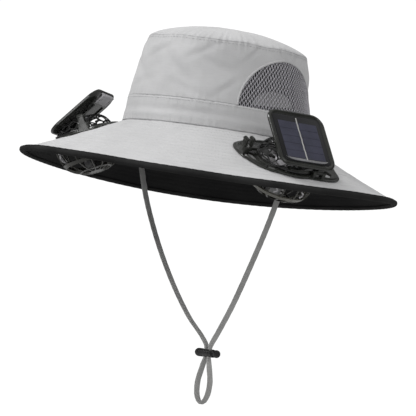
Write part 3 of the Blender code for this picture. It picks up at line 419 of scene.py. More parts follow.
def noise_tone(tree, space, scale, low, high):
    """Colour that wanders between two tones."""
    cloud = node(tree, "TexNoise", {"Vector": space, "Scale": scale, "Detail": 4.0})
    ramp = node(tree, "ValToRGB", {"Fac": cloud.outputs["Fac"]})
    ramp.color_ramp.elements[0].position = 0.35
    ramp.color_ramp.elements[1].position = 0.65
    ramp.color_ramp.elements[0].color = (*low, 1.0)
    ramp.color_ramp.elements[1].color = (*high, 1.0)
    return ramp.outputs["Color"]


def wave(tree, space, pitch, direction):
    """Bands with a given spacing in metres."""
    return node(
        tree, "TexWave", {"Vector": space, "Scale": math.pi / (10.0 * pitch), "Distortion": 0.0},
        wave_type="BANDS", bands_direction=direction,
    ).outputs["Fac"]


def cloth_paint(name, low, high, thread, roughness, depth, sheen=0.25, shine=0.3):
    """Plain weave: two sets of threads that rise in turn, with soft wear and slubs, and painted shade where
    the threads dip.
    """
    plain = {"Sheen Weight": sheen, "Sheen Roughness": 0.6, "Specular IOR Level": shine}
    paint, tree = new_paint(name, plain)
    place = node(tree, "TexCoord")
    flat = place.outputs["UV"]
    warp = wave(tree, flat, thread, "X")
    weft = wave(tree, flat, thread, "Y")
    cross = node(tree, "Math", {0: warp, 1: weft}, operation="MULTIPLY").outputs[0]
    fuzz = node(tree, "TexNoise", {"Vector": flat, "Scale": 0.35 / thread, "Detail": 3.0}).outputs["Fac"]
    height = node(tree, "Math", {0: cross, 1: fuzz}, operation="ADD").outputs[0]
    bump = node(tree, "Bump", {"Height": height, "Strength": 0.55, "Distance": depth})
    tone = noise_tone(tree, place.outputs["Object"], 22.0, low, high)
    shade = node(tree, "Mapping", {"Vector": flat, "Scale": (60.0, 900.0, 1.0)})
    slub = node(tree, "TexNoise", {"Vector": shade.outputs[0], "Scale": 1.0, "Detail": 2.0}).outputs["Fac"]
    # The weave's low points are painted darker than its raised threads: painted shade between the threads
    weave = node(tree, "MapRange", {"Value": cross, "To Min": 0.88, "To Max": 1.05}).outputs[0]
    streak = node(tree, "MapRange", {"Value": slub, "To Min": 0.93, "To Max": 1.07}).outputs[0]
    both = node(tree, "Math", {0: weave, 1: streak}, operation="MULTIPLY").outputs[0]
    colour = node(tree, "VectorMath", {0: tone, 3: both}, operation="SCALE").outputs[0]
    rough = node(tree, "MapRange", {"Value": fuzz, "To Min": roughness - 0.06, "To Max": roughness + 0.06})
    return link_paint(paint, colour, rough, bump)


def thread_paint(name, low, high, sheen=0.2):
    """Twisted thread."""
    paint, tree = new_paint(name, {"Sheen Weight": sheen, "Specular IOR Level": 0.2})
    place = node(tree, "TexCoord").outputs["Object"]
    twist = node(
        tree, "TexWave", {"Vector": place, "Scale": 420.0, "Distortion": 2.0}, bands_direction="DIAGONAL"
    )
    tone = noise_tone(tree, place, 900.0, low, high)
    bump = node(tree, "Bump", {"Height": twist.outputs["Fac"], "Strength": 0.4, "Distance": 0.1 * MM})
    rough = node(tree, "MapRange", {"Value": twist.outputs["Fac"], "To Min": 0.62, "To Max": 0.8})
    return link_paint(paint, tone, rough, bump)


def plastic_paint(name, low, high, roughness, plain=()):
    """Moulded plastic with a fine grain and faint rubbed patches."""
    paint, tree = new_paint(name, plain)
    place = node(tree, "TexCoord").outputs["Object"]
    fine = node(tree, "TexNoise", {"Vector": place, "Scale": 1400.0, "Detail": 2.0}).outputs["Fac"]
    wear = node(tree, "TexNoise", {"Vector": place, "Scale": 60.0, "Detail": 5.0}).outputs["Fac"]
    tone = noise_tone(tree, place, 45.0, low, high)
    span = {"From Min": 0.3, "From Max": 0.7, "To Min": roughness - 0.07, "To Max": roughness + 0.09}
    rough = node(tree, "MapRange", {"Value": wear, **span})
    bump = node(tree, "Bump", {"Height": fine, "Strength": 0.5, "Distance": 0.06 * MM})
    return link_paint(paint, tone, rough, bump)


def metal_paint(name, low, high, roughness):
    """Drawn metal with fine lines along its length."""
    paint, tree = new_paint(name, {"Metallic": 1.0})
    place = node(tree, "TexCoord").outputs["Object"]
    stretch = node(tree, "Mapping", {"Vector": place, "Scale": (900.0, 900.0, 90.0)}).outputs[0]
    lines = node(tree, "TexNoise", {"Vector": stretch, "Scale": 1.0, "Detail": 3.0}).outputs["Fac"]
    tone = noise_tone(tree, place, 120.0, low, high)
    rough = node(tree, "MapRange", {"Value": lines, "To Min": roughness - 0.08, "To Max": roughness + 0.12})
    bump = node(tree, "Bump", {"Height": lines, "Strength": 0.3, "Distance": 0.05 * MM})
    return link_paint(paint, tone, rough, bump)


def wafer_paint():
    """Silicon under clear resin: navy, with a fine grain and small changes of tone."""
    paint, tree = new_paint("wafer", {"Coat Weight": 0.4, "Coat Roughness": 0.08, "Specular IOR Level": 0.3})
    place = node(tree, "TexCoord").outputs["Object"]
    tone = noise_tone(tree, place, 70.0, (0.020, 0.021, 0.040), (0.030, 0.031, 0.056))
    fine = node(tree, "TexNoise", {"Vector": place, "Scale": 1500.0, "Detail": 1.0}).outputs["Fac"]
    flake = node(tree, "MapRange", {"Value": fine, "To Min": 0.85, "To Max": 1.15}).outputs[0]
    colour = node(tree, "VectorMath", {0: tone, 3: flake}, operation="SCALE").outputs[0]
    rough = node(tree, "MapRange", {"Value": fine, "To Min": 0.22, "To Max": 0.38})
    bump = node(tree, "Bump", {"Height": fine, "Strength": 0.2, "Distance": 0.03 * MM})
    return link_paint(paint, colour, rough, bump)


PAINT = {"wafer": wafer_paint()}
for make_paint, kinds in (
    (cloth_paint, CLOTHS), (thread_paint, THREADS), (plastic_paint, PLASTICS), (metal_paint, METALS),
):
    for kind_name, facts in kinds.items():
        PAINT[kind_name] = make_paint(kind_name, *facts)


# Surfaces of crown and brim, as in the CAD


def read_curve(rows, place):
    count = len(rows)
    slopes = []
    for index in range(count):
        low = rows[max(index - 1, 0)]
        high = rows[min(index + 1, count - 1)]
        slopes.append((high[1] - low[1]) / (high[0] - low[0]))
    index = 0
    while index < count - 2 and place > rows[index + 1][0]:
        index += 1
    (start, low), (end, high) = rows[index], rows[index + 1]
    span = end - start
    share = (place - start) / span
    bend = share * share * (3.0 - 2.0 * share)
    lead = share * (1.0 - share) ** 2 * span * slopes[index]
    trail = share ** 2 * (share - 1.0) * span * slopes[index + 1]
    return low + (high - low) * bend + lead + trail


def mix(low, high, share):
    return low + (high - low) * share


def smooth(share):
    share = max(0.0, min(1.0, share))
    return share * share * (3.0 - 2.0 * share)


def crown_fold(phi, height):
    share = max(0.0, min(1.0, height / SEAM_HEIGHT))
    depth = FOLD_DEPTH * math.sin(math.pi * share)
    return depth * math.sin(FOLD_COUNT * phi + 4.0 * share)


def crown_point(phi, height, inset=0.0):
    share = read_curve(CROWN_PROFILE, height / SEAM_HEIGHT)
    sink = inset + crown_fold(phi, height)
    half_width = 0.5 * CROWN_WIDTH * share - sink
    half_length = 0.5 * CROWN_LENGTH * share - sink
    return Vector((half_width * math.sin(phi), -half_length * math.cos(phi), height))


def top_seam(phi):
    pucker = math.sin(PUCKER_COUNT * phi) + 0.6 * math.sin((PUCKER_COUNT + 4) * phi + 1.0)
    return SEAM_HEIGHT - PUCKER_DEPTH * (1.0 - 0.5 * pucker)


def brim_flat_point(phi, share):
    half_width = mix(0.5 * CROWN_WIDTH, 0.5 * BRIM_WIDTH, share)
    half_length = mix(0.5 * CROWN_LENGTH, 0.5 * BRIM_LENGTH, share)
    swell = RIM_NOD * math.cos(phi) - RIM_WAVE * math.sin(2.0 * phi)
    height = swell * share * abs(share) - BRIM_DROP * share
    return Vector((half_width * math.sin(phi), BRIM_SHIFT * share - half_length * math.cos(phi), height))


def brim_normal(phi, share):
    round_step = brim_flat_point(phi + SMALL_ANGLE, share) - brim_flat_point(phi - SMALL_ANGLE, share)
    out_step = brim_flat_point(phi, share + SMALL_ANGLE) - brim_flat_point(phi, share - SMALL_ANGLE)
    return out_step.cross(round_step).normalized()


def brim_point(phi, share, lift=0.0):
    return brim_flat_point(phi, share) + brim_normal(phi, share) * lift


BRIM_SLANT = math.hypot(0.5 * (BRIM_WIDTH - CROWN_WIDTH), BRIM_DROP)


def brim_place_of(x, y):
    """Angle and share of the brim under a place, found by halving."""
    low, high = -0.5, 1.5
    for _ in range(30):
        share = 0.5 * (low + high)
        half_width = mix(0.5 * CROWN_WIDTH, 0.5 * BRIM_WIDTH, share)
        half_length = mix(0.5 * CROWN_LENGTH, 0.5 * BRIM_LENGTH, share)
        across, along = x / half_width, (BRIM_SHIFT * share - y) / half_length
        if across * across + along * along > 1.0:
            low = share
        else:
            high = share
    return math.atan2(across, along), share


def brim_height(x, y):
    return brim_flat_point(*brim_place_of(x, y)).z


def unit_axes(turn):
    phi = UNIT_ANGLES[turn]
    share = UNIT_SHARES[turn]
    seat = brim_point(phi, share)
    up = brim_normal(phi, share)
    along = (brim_point(phi + turn * SMALL_ANGLE, share) - seat).normalized()
    out = (along.cross(up) * turn).normalized()
    return seat, along, out, up


AXES = {turn: unit_axes(turn) for turn in SIDES.values()}


def unit_point(turn, along, out, up):
    seat, along_axis, out_axis, up_axis = AXES[turn]
    return seat + along_axis * along + out_axis * out + up_axis * up


def true_drop(turn, along, out):
    """How far the curved brim is above a unit's flat plane at a place, along the unit's up direction."""
    up_axis = AXES[turn][3]
    place = unit_point(turn, along, out, 0.0)
    rise = 0.0
    for _ in range(5):
        step = (brim_height(place.x, place.y) - place.z) * up_axis.z
        place += up_axis * step
        rise += step
    return rise


POWERS = [(i, j) for i in range(6) for j in range(6 - i)]
FIT_SCALE = 50.0 * MM


def fit_drop(turn):
    """The same rise as a smooth polynomial, which is quick to read."""
    rows, values = [], []
    for step_along in range(-11, 14):
        for step_out in range(-8, 9):
            along, out = step_along * 5.5 * MM, step_out * 5.5 * MM
            rows.append([(along / FIT_SCALE) ** i * (out / FIT_SCALE) ** j for i, j in POWERS])
            values.append(true_drop(turn, along, out))
    return numpy.linalg.lstsq(numpy.array(rows), numpy.array(values), rcond=None)[0]


DROPS = {turn: fit_drop(turn) for turn in SIDES.values()}


def brim_place(turn, along, out, lift):
    """A unit's point laid on the curved brim, then lifted off it."""
    a, b = along / FIT_SCALE, out / FIT_SCALE
    rise = sum(factor * a ** i * b ** j for factor, (i, j) in zip(DROPS[turn], POWERS))
    return unit_point(turn, along, out, lift + float(rise))


# Crown: each soft crease has an angle, height, half-size along, half-size across, slope and depth, in mm

CREASES = (
    (-62, 66, 26, 3.5, 0.5, 0.8), (-35, 58, 30, 5.0, -0.55, 0.9), (-8, 70, 24, 4.0, 0.35, 0.7),
    (12, 52, 28, 5.0, -0.7, 0.9), (28, 74, 22, 3.5, 0.5, 0.8), (38, 60, 20, 4.0, -0.3, 0.6),
    (64, 80, 16, 2.6, 0.9, 0.7), (84, 81, 12, 2.4, -0.8, 0.6), (100, 80, 14, 2.6, 0.8, 0.7),
    (140, 62, 28, 5.0, 0.6, 0.9), (172, 55, 30, 5.0, -0.5, 0.9), (205, 66, 26, 4.0, 0.5, 0.8),
    (-20, 38, 26, 4.0, 0.25, 0.6), (20, 34, 24, 3.5, -0.3, 0.6), (46, 40, 16, 3.0, 0.8, 0.6),
)


def crease(phi, height):
    """Sum of the soft creases and a fine unevenness, as a depth below the plain wall."""
    depth = 0.0
    for angle, level, long_size, wide_size, slope, strength in CREASES:
        turn = math.remainder(phi - math.radians(angle), math.tau)
        right = turn * MEAN_RADIUS / MM
        rise = height / MM - level
        if abs(right) > 3.0 * long_size or abs(rise) > 3.0 * long_size:
            continue
        norm = math.hypot(1.0, slope)
        along = (right + slope * rise) / norm
        across = (rise - slope * right) / norm
        bell = math.exp(-(along / long_size) ** 2 - (across / wide_size) ** 2)
        side = math.exp(-(along / long_size) ** 2 - ((across - 1.9 * wide_size) / (1.3 * wide_size)) ** 2)
        depth += strength * (bell - 0.7 * side)
    where = Vector((math.sin(phi) * 3.2, math.cos(phi) * 3.2, height * 38.0))
    fine = noise.noise(where) * 0.55 + noise.noise(where * 2.3) * 0.28
    fade = smooth(height / (30.0 * MM)) * 0.6 + 0.4
    return (depth + fine * fade) * MM


def seam_pull(phi, distance):
    """Short puckers that run out of a stitched seam and fade with the distance from it."""
    slow = math.sin(61.0 * phi + 1.7 * math.sin(7.0 * phi))
    fast = math.sin(97.0 * phi + 2.0 * math.sin(5.0 * phi))
    return 0.32 * MM * (slow + 0.7 * fast) * math.exp(-abs(distance) / (5.0 * MM))


def wall_point(phi, height, inset=0.0):
    """A point of the crown's dressed wall, with its creases and the puckers of its seams."""
    dent = crease(phi, height)
    dent += seam_pull(phi, height - top_seam(phi)) + 0.6 * seam_pull(phi + 0.4, height - BAND_HEIGHT)
    return crown_point(phi, height, inset + dent)


def round_columns():
    """Angles round the hat, closer together where the net's border is steep."""
    marks = {round(math.tau * step / AROUND, 6) for step in range(AROUND)}
    steps = 90
    for turn in SIDES.values():
        middle = turn * 0.5 * math.pi
        inside = [m for m in marks if abs(math.remainder(m - middle, math.tau)) < MESH_HALF_ANGLE + 0.012]
        marks -= set(inside)
        for step in range(steps + 1):
            angle = middle + MESH_HALF_ANGLE * math.cos(math.pi * step / steps)
            marks.add(round(angle % math.tau, 6))
        for side in (-1, 1):
            marks.add(round((middle + side * (MESH_HALF_ANGLE + 0.008)) % math.tau, 6))
    return sorted(marks)


COLUMNS = round_columns()
EVEN = [math.tau * step / AROUND for step in range(AROUND)]


def girth_marks(columns, radius=MEAN_RADIUS):
    return [phi * radius for phi in columns] + [math.tau * radius + columns[0] * radius]


def moon_height(phi):
    """Height of the net's border over the band at an angle, or 0 outside it."""
    for turn in SIDES.values():
        share = math.remainder(phi - turn * 0.5 * math.pi, math.tau) / MESH_HALF_ANGLE
        if abs(share) < 1.0:
            return MESH_HEIGHT * math.sqrt(1.0 - share * share)
    return 0.0


def shell(name, outer, inner, across, along):
    """A closed cloth wall from its outer rows and its inner rows, both from low to high."""
    rows = outer + inner[::-1]
    back = [along[-1] + MM + (along[-1] - mark) for mark in along[::-1]]
    marks = along + back + [along[-1] * 2.0 + 2.0 * MM]
    return grid_mesh(name, rows, close=True, across=across, along=marks)


def make_crown_side():
    rows = 40
    outer, inner = [], []
    for row in range(rows + 1):
        share = row / rows
        for inset, keep in ((0.0, outer), (CLOTH, inner)):
            loop = []
            for phi in COLUMNS:
                low = BAND_HEIGHT + moon_height(phi)
                height = mix(low, top_seam(phi) - 0.2 * MM, share)
                loop.append(wall_point(phi, height, inset))
            keep.append(loop)
    marks = [BAND_HEIGHT + (SEAM_HEIGHT - BAND_HEIGHT) * row / rows for row in range(rows + 1)]
    side = shell("crown_side_cloth", outer, inner, girth_marks(COLUMNS), marks)
    dress(side, PAINT["grey_cloth"], "grey_cloth", ROOT, "crown_side")
    return shade_inside(side)


def shade_inside(item):
    """Gives the faces that look towards the hat's axis, or down inside its top, a dark paint: painted shade
    inside the crown.
    """
    item.data.materials.append(PAINT["inside_painted_shade"])
    for face in item.data.polygons:
        middle = face.center
        away = Vector((middle.x, middle.y, 0.0)).normalized()
        if face.normal.dot(away) < -0.3 or (face.normal.z < -0.3 and middle.z > SEAM_HEIGHT - 2.0 * MM):
            face.material_index = 1
    return item


def band_wave(phi, height):
    """Soft level folds in the band, and a slight overhang at its upper seam."""
    share = height / BAND_HEIGHT
    swell = math.exp(-((share - 0.52) / 0.14) ** 2) * (0.75 + 0.45 * math.sin(3.0 * phi + 0.6))
    ridge = math.exp(-((share - 0.30) / 0.12) ** 2) * (0.55 + 0.45 * math.sin(4.0 * phi + 2.0))
    fine = noise.noise(Vector((math.sin(phi) * 4.0, math.cos(phi) * 4.0, height * 60.0))) * 0.35
    return (0.9 * swell - 0.8 * ridge + fine) * MM


def make_crown_band():
    rows = 16
    outer, inner = [], []
    for row in range(rows + 1):
        for inset, keep in ((-0.35 * MM, outer), (CLOTH, inner)):
            loop = []
            for phi in EVEN:
                guess = crown_point(phi, 0.0, inset)
                low = brim_height(guess.x, guess.y) + GAP
                height = mix(low, BAND_HEIGHT, row / rows)
                dent = band_wave(phi, height) + 0.7 * seam_pull(phi, height - BAND_HEIGHT)
                dent += 0.8 * seam_pull(phi + 1.0, height)
                loop.append(crown_point(phi, height, inset + dent * (1.0 if inset < 0 else 0.6)))
            keep.append(loop)
    marks = [BAND_HEIGHT * row / rows for row in range(rows + 1)]
    band = shell("crown_band_cloth", outer, inner, girth_marks(EVEN), marks)
    dress(band, PAINT["grey_cloth"], "grey_cloth", ROOT, "crown_band")
    return shade_inside(band)


def top_point(phi, ring, inset=0.0):
    """A point of the domed top: ring is 1 at the seam and 0 in the middle."""
    edge = wall_point(phi, top_seam(phi), inset - 0.25 * MM)
    rise = (TOP_RISE - inset) * (1.0 - ring * ring) ** TOP_ROUNDNESS
    base = mix(SEAM_HEIGHT - PUCKER_DEPTH, edge.z, ring)
    distance = (1.0 - ring) * MEAN_RADIUS
    where = Vector((edge.x * ring * 30.0, edge.y * ring * 30.0, 3.0))
    dent = seam_pull(phi + 0.2, distance) * 1.3 * smooth(distance / (4.0 * MM))
    dent += noise.noise(where) * 0.6 * MM * smooth((1.0 - ring) * 4.0)
    dent += 0.5 * MM * (1.0 - smooth(distance / (1.5 * MM)))
    return Vector((edge.x * ring, edge.y * ring, base + rise - dent))


def make_crown_top():
    rings = [
        1.0, 0.995, 0.985, 0.97, 0.95, 0.925, 0.9, 0.87, 0.84, 0.8, 0.75, 0.7, 0.64, 0.57, 0.5, 0.42, 0.34,
        0.26, 0.18, 0.1, 0.04
    ]
    outer = [[top_point(phi, ring) for phi in EVEN] for ring in rings]
    inner = [[top_point(phi, ring, CLOTH) for phi in EVEN] for ring in rings]
    rows = inner[::-1] + outer
    marks = [(1.0 - ring) * MEAN_RADIUS for ring in rings]
    top = grid_mesh(
        "crown_top_cloth", rows, caps=True, across=girth_marks(EVEN), along=marks[::-1] + marks + [0.0]
    )
    for entry, loop in zip(top.data.uv_layers[0].data, top.data.loops):
        place = top.data.vertices[loop.vertex_index].co
        entry.uv = (place.x, place.y)
    dress(top, PAINT["grey_cloth"], "grey_cloth", ROOT, "crown_top")
    return shade_inside(top)


# Brim

STITCH_ROWS = [STITCH_ROW_PITCH * (0.8 + index) for index in range(13)]


def channel(distance):
    """Depth of the dips along the stitch rows, at a distance down the brim."""
    nearest = min(abs(distance - row) for row in STITCH_ROWS)
    return CHANNEL_DEPTH * math.exp(-(nearest / (1.1 * MM)) ** 2)


def brim_ripple(phi, share):
    """Small unevenness of the quilted cloth between its rows of stitches."""
    where = Vector((math.sin(phi) * 5.0, math.cos(phi) * 5.0, share * 9.0))
    return (noise.noise(where) * 0.35 + noise.noise(where * 3.0) * 0.16) * MM


def brim_skin(phi, share, lift, sign):
    distance = share * BRIM_SLANT
    dent = channel(distance) if distance > 0.0 else 0.0
    ripple = brim_ripple(phi, share) * smooth(8.0 * (1.0 - share))
    return brim_point(phi, share, lift + sign * (ripple - dent))


def make_brim_layer(name, cad_name, paint, slot_name, top, bottom, shown):
    """One layer of the brim: its shown face has the quilted rows, its other face is plain."""
    inner = -2.6 * MM / BRIM_SLANT
    outer = 1.0 - (BINDING_WALL + 1.5 * GAP) / BRIM_SLANT
    sign = 1.0 if shown == "top" else -1.0
    faces = {}
    for side, lift in (("top", top), ("bottom", bottom)):
        count = 92 if side == shown else 12
        shares = [mix(inner, outer, row / count) for row in range(count + 1)]
        if side == shown:
            faces[side] = [[brim_skin(phi, share, lift, sign) for phi in EVEN] for share in shares]
        else:
            faces[side] = [[brim_point(phi, share, lift) for phi in EVEN] for share in shares]
    high, low = len(faces["top"]) - 1, len(faces["bottom"]) - 1
    marks = [BRIM_SLANT * row / high for row in range(high + 1)]
    marks += [2.0 * BRIM_SLANT - BRIM_SLANT * row / low for row in range(low, -1, -1)]
    marks.append(marks[-1] + MM)
    around = girth_marks(EVEN, 1.45 * MEAN_RADIUS)
    layer = grid_mesh(name, faces["top"] + faces["bottom"][::-1], close=True, across=around, along=marks)
    for turn in SIDES.values():
        carve(layer, fan_cylinder(turn, DUCT_RADIUS + DUCT_WALL + 0.25 * MM, -26.0 * MM, 26.0 * MM))
    layer.data.shade_smooth()
    return dress(layer, paint, slot_name, ROOT, cad_name)


def fan_cylinder(turn, radius, low, high):
    ring = circle(radius, 72, FAN_PLACE)
    loops = [[unit_point(turn, x, y, level) for x, y in ring] for level in (low, high)]
    return grid_mesh("tool", loops, caps=True)


def make_binding():
    """Folded strip over the rim, with soft puckers between its stitches."""
    wall, width = BINDING_WALL, BINDING_WIDTH
    outer = [
        (width, GAP + 0.3 * wall), (0.93 * width, GAP + 0.95 * wall), (0.75 * width, GAP + 0.8 * wall),
        (0.45 * width, GAP + 1.1 * wall), (0.22 * width, GAP + 0.9 * wall), (0.5 * wall, 0.35 * GAP),
    ]
    inner = [(wall, 0.2 * GAP), (0.5 * width, 0.4 * GAP), (width, 0.4 * GAP)]
    below = [(distance, UNDERSIDE - lift) for distance, lift in outer[::-1] + inner[::-1]]
    section = outer + [(0.0, 0.5 * UNDERSIDE)] + below + inner
    rows, marks = [], [0.0]
    shown = 2 * len(outer) + 1
    for index, (distance, lift) in enumerate(section):
        loop = []
        for phi in EVEN:
            sway = 0.09 * MM * math.sin(120.0 * phi + 2.0 * math.sin(9.0 * phi)) if index < shown else 0.0
            push = sway * math.copysign(1.0, lift - 0.5 * UNDERSIDE) if 1 <= index < shown - 1 else 0.0
            wander = 0.3 * MM * math.sin(13.0 * phi) if distance > 0.7 * BINDING_WIDTH else 0.0
            loop.append(brim_point(phi, 1.0 - (distance + wander) / BRIM_SLANT, lift + push))
        rows.append(loop)
        marks.append(marks[-1] + 1.3 * MM)
    around = girth_marks(EVEN, 2.0 * MEAN_RADIUS)
    binding = grid_mesh("rim_binding", rows, close=True, across=around, along=marks)
    return dress(binding, PAINT["binding"], "dark_cloth", ROOT, "brim_binding")


# Stitches


def add_stitch(points, faces, start, end, off, width=STITCH_WIDTH):
    """One thread stitch between two places: a bead with flat ends, standing half out of the cloth."""
    along = (end - start).normalized()
    side = along.cross(off).normalized()
    first = len(points)
    for share, grow in ((0.0, 0.35), (0.2, 0.9), (0.8, 0.9), (1.0, 0.35)):
        middle = start.lerp(end, share) + off * (0.25 * width * grow)
        half = 0.5 * width * grow
        points.extend((middle + side * half, middle + off * half, middle - side * half, middle - off * half))
    skin_rings(faces, first, 4, 4)


def stitch_row(points, faces, line, pitch=STITCH_PITCH, length=STITCH_LENGTH, width=STITCH_WIDTH):
    """Stitches along a line of (place, outward direction)."""
    travelled = [0.0]
    for (start, _), (end, _) in zip(line, line[1:]):
        travelled.append(travelled[-1] + (end - start).length)
    total = travelled[-1]
    count = max(1, round(total / pitch))
    step = total / count
    index = 0

    def at(distance):
        nonlocal index
        while index > 0 and travelled[index] > distance:
            index -= 1
        while index < len(line) - 2 and travelled[index + 1] < distance:
            index += 1
        share = (distance - travelled[index]) / (travelled[index + 1] - travelled[index])
        return line[index][0].lerp(line[index + 1][0], share), line[index][1]

    for number in range(count):
        start_at = (number + 0.15) * step
        start, off = at(start_at)
        end, _ = at(min(total, start_at + length))
        add_stitch(points, faces, start, end, off, width)


def stitches(name, lines, paint, slot_name, **facts):
    points, faces = [], []
    for line in lines:
        stitch_row(points, faces, line, **facts)
    made = finish_mesh(name, points, faces)
    face_out_each(made)
    return dress(made, paint, slot_name)


def outward(phi):
    return Vector((math.sin(phi) / CROWN_WIDTH, -math.cos(phi) / CROWN_LENGTH, 0.0)).normalized()


def ring_line(place, off):
    line = [(place(phi), off(phi)) for phi in EVEN]
    return line + [line[0]]


def in_fan_hole(phi, share, lift):
    """Whether a place on the brim is in a fan's hole or near its edge, where nothing is stitched."""
    spot = brim_point(phi, share, lift)
    for turn in SIDES.values():
        seat, along_axis, out_axis, _ = AXES[turn]
        away = spot - seat
        along, out = away.dot(along_axis) - FAN_PLACE[0], away.dot(out_axis) - FAN_PLACE[1]
        if math.hypot(along, out) < DUCT_RADIUS + DUCT_WALL + 2.5 * MM:
            return True
    return False


def brim_lines(lift, sign):
    """Lines of stitches round the brim, broken where the fans go through it."""
    lines = []
    for distance in STITCH_ROWS:
        share = distance / BRIM_SLANT
        line = []
        for phi in EVEN + [math.tau]:
            if in_fan_hole(phi, share, lift):
                if len(line) > 3:
                    lines.append(line)
                line = []
                continue
            line.append((brim_skin(phi, share, lift, sign), brim_normal(phi, share) * sign))
        if len(line) > 3:
            lines.append(line)
    return lines


def make_stitches():
    low_level = BAND_HEIGHT - 1.9 * MM
    seam = ring_line(lambda phi: wall_point(phi, top_seam(phi) - 2.6 * MM), outward)
    low = ring_line(lambda phi: crown_point(phi, low_level, -0.4 * MM + band_wave(phi, low_level)), outward)
    stitches("brim_top_stitches", brim_lines(0.0, 1.0), PAINT["brim_thread"], "grey_cloth")
    lines = brim_lines(UNDERSIDE, -1.0)
    stitches(
        "brim_under_stitches", lines, PAINT["dark_thread"], "dark_cloth", pitch=4.2 * MM, length=3.0 * MM
    )
    stitches("crown_stitches", [seam], PAINT["seam_thread"], "grey_cloth", pitch=3.6 * MM, length=2.2 * MM)
    stitches("band_stitches", [low], PAINT["seam_thread"], "grey_cloth", pitch=3.4 * MM, length=2.2 * MM)
    edges = []
    share = 1.0 - 0.78 * BINDING_WIDTH / BRIM_SLANT
    for lift, sign in ((GAP + 0.85 * BINDING_WALL, 1.0), (UNDERSIDE - GAP - 0.85 * BINDING_WALL, -1.0)):
        edges.append([(brim_point(phi, share, lift), brim_normal(phi, share) * sign) for phi in EVEN + [0.0]])
    stitches("binding_stitches", edges, PAINT["dark_thread"], "dark_cloth", pitch=3.2 * MM)


# Net in the crown's sides


def net_point(turn, along, up, off=0.0):
    """A place on a net panel: along the wall from the panel's middle, up from the band, off the cloth."""
    phi = turn * 0.5 * math.pi + along / MEAN_RADIUS
    return crown_point(phi, BAND_HEIGHT + up, 0.75 * MM - off + 0.5 * crease(phi, BAND_HEIGHT + up))


def in_moon(along, up, shrink):
    wide = MESH_HALF_ANGLE * MEAN_RADIUS - shrink
    tall = MESH_HEIGHT - shrink
    return up > -MM and (along / wide) ** 2 + (max(up, 0.0) / tall) ** 2 < 1.0


def make_net(side_name, turn):
    """Knitted net: two sets of slanting strands that cross in turn and leave staggered openings."""
    pitch_along, pitch_up = NET_PITCH
    points, faces = [], []
    reach = int(MESH_HALF_ANGLE * MEAN_RADIUS / pitch_along) + 14
    sides = 5
    steps = 2 * int(MESH_HEIGHT / pitch_up) + 3
    for lean in (-1, 1):
        for number in range(-reach, reach + 1):
            line = []
            for half_step in range(steps * 3):
                rise = half_step / 3.0
                up = 0.5 * pitch_up * rise
                along = (number + 0.5 * lean * rise) * pitch_along
                swing = 0.13 * pitch_along * math.sin(math.tau * rise) * lean
                weave = 0.22 * MM * math.cos(math.pi * rise) * lean
                if in_moon(along, up, 0.2 * MM):
                    line.append((along + swing, up, weave))
                    continue
                if len(line) > 1:
                    add_strand(points, faces, turn, line, sides)
                line = []
            if len(line) > 1:
                add_strand(points, faces, turn, line, sides)
    net = finish_mesh("net_" + side_name, points, faces)
    face_out_each(net)
    return dress(net, PAINT["net"], "net", ROOT, "mesh_panel_" + side_name)


def add_strand(points, faces, turn, line, sides):
    """A flat-round strand through places on the net."""
    first = len(points)
    for index, (along, up, weave) in enumerate(line):
        before, after = line[max(index - 1, 0)], line[min(index + 1, len(line) - 1)]
        run, climb = after[0] - before[0], after[1] - before[1]
        size = math.hypot(run, climb) or 1.0
        cross = (-climb / size, run / size)
        for corner in range(sides):
            angle = math.tau * corner / sides
            reach = 0.5 * NET_STRAND * math.cos(angle)
            depth = 0.3 * NET_STRAND * math.sin(angle)
            points.append(net_point(turn, along + cross[0] * reach, up + cross[1] * reach, weave + depth))
    skin_rings(faces, first, len(line), sides)


def make_painted_light_patch():
    """Pale half-moon of grey cloth inside the back of the crown, seen through the net: a painted pool of
    light where light falls in on the inner back wall.
    """
    middle, wide, low, tall = math.radians(185.0), 27.0 * MM, 40.0 * MM, 15.0 * MM
    rows = []
    steps = 16
    for row in range(9):
        share = row / 8
        loop = []
        for step in range(steps + 1):
            angle = math.pi * (0.02 + 0.96 * step / steps)
            phi = middle + wide * math.cos(angle) / MEAN_RADIUS
            loop.append((phi, low + tall * math.sin(angle) * share))
        rows.append(loop)
    outer = [[wall_point(phi, height, CLOTH + 1.6 * MM) for phi, height in loop] for loop in rows]
    inner = [[wall_point(phi, height, CLOTH + 0.8 * MM) for phi, height in loop[::-1]] for loop in rows]
    light_patch = grid_mesh("back_painted_light_patch", [one + two for one, two in zip(outer, inner)], caps=True)
    return dress(light_patch, PAINT["grey_cloth"], "grey_cloth")


def make_piping(side_name, turn):
    """Thin folded edge round a net panel."""
    steps, sides, radius = 90, 8, 1.15 * MM
    wide = MESH_HALF_ANGLE
    rows = []
    for step in range(steps + 1):
        angle = math.pi * step / steps
        phi = turn * 0.5 * math.pi + wide * math.cos(angle)
        height = BAND_HEIGHT + MESH_HEIGHT * math.sin(angle)
        middle = wall_point(phi, height, 0.1 * MM)
        tilt = Vector((math.cos(angle) * MESH_HEIGHT / wide / MEAN_RADIUS, math.sin(angle)))
        tilt.normalize()
        off = outward(phi)
        sideways = Vector((math.cos(phi), math.sin(phi), 0.0))
        in_plane = sideways * tilt.x + Vector((0.0, 0.0, tilt.y))
        loop = []
        for corner in range(sides):
            turn_round = math.tau * corner / sides
            wide_part = in_plane * (radius * math.cos(turn_round))
            loop.append(middle + wide_part + off * (0.55 * radius * math.sin(turn_round)))
        rows.append(loop)
    piping = grid_mesh("net_piping_" + side_name, rows, caps=True)
    return dress(piping, PAINT["grey_cloth"], "grey_cloth")


# Chin cord


def curve_through(before, start, end, after, share):
    """A place between start and end on the smooth curve through four places."""
    return 0.5 * (
        2.0 * start
        + (end - before) * share
        + (2.0 * before - 5.0 * start + 4.0 * end - after) * share ** 2
        + (3.0 * start - before - 3.0 * end + after) * share ** 3
    )


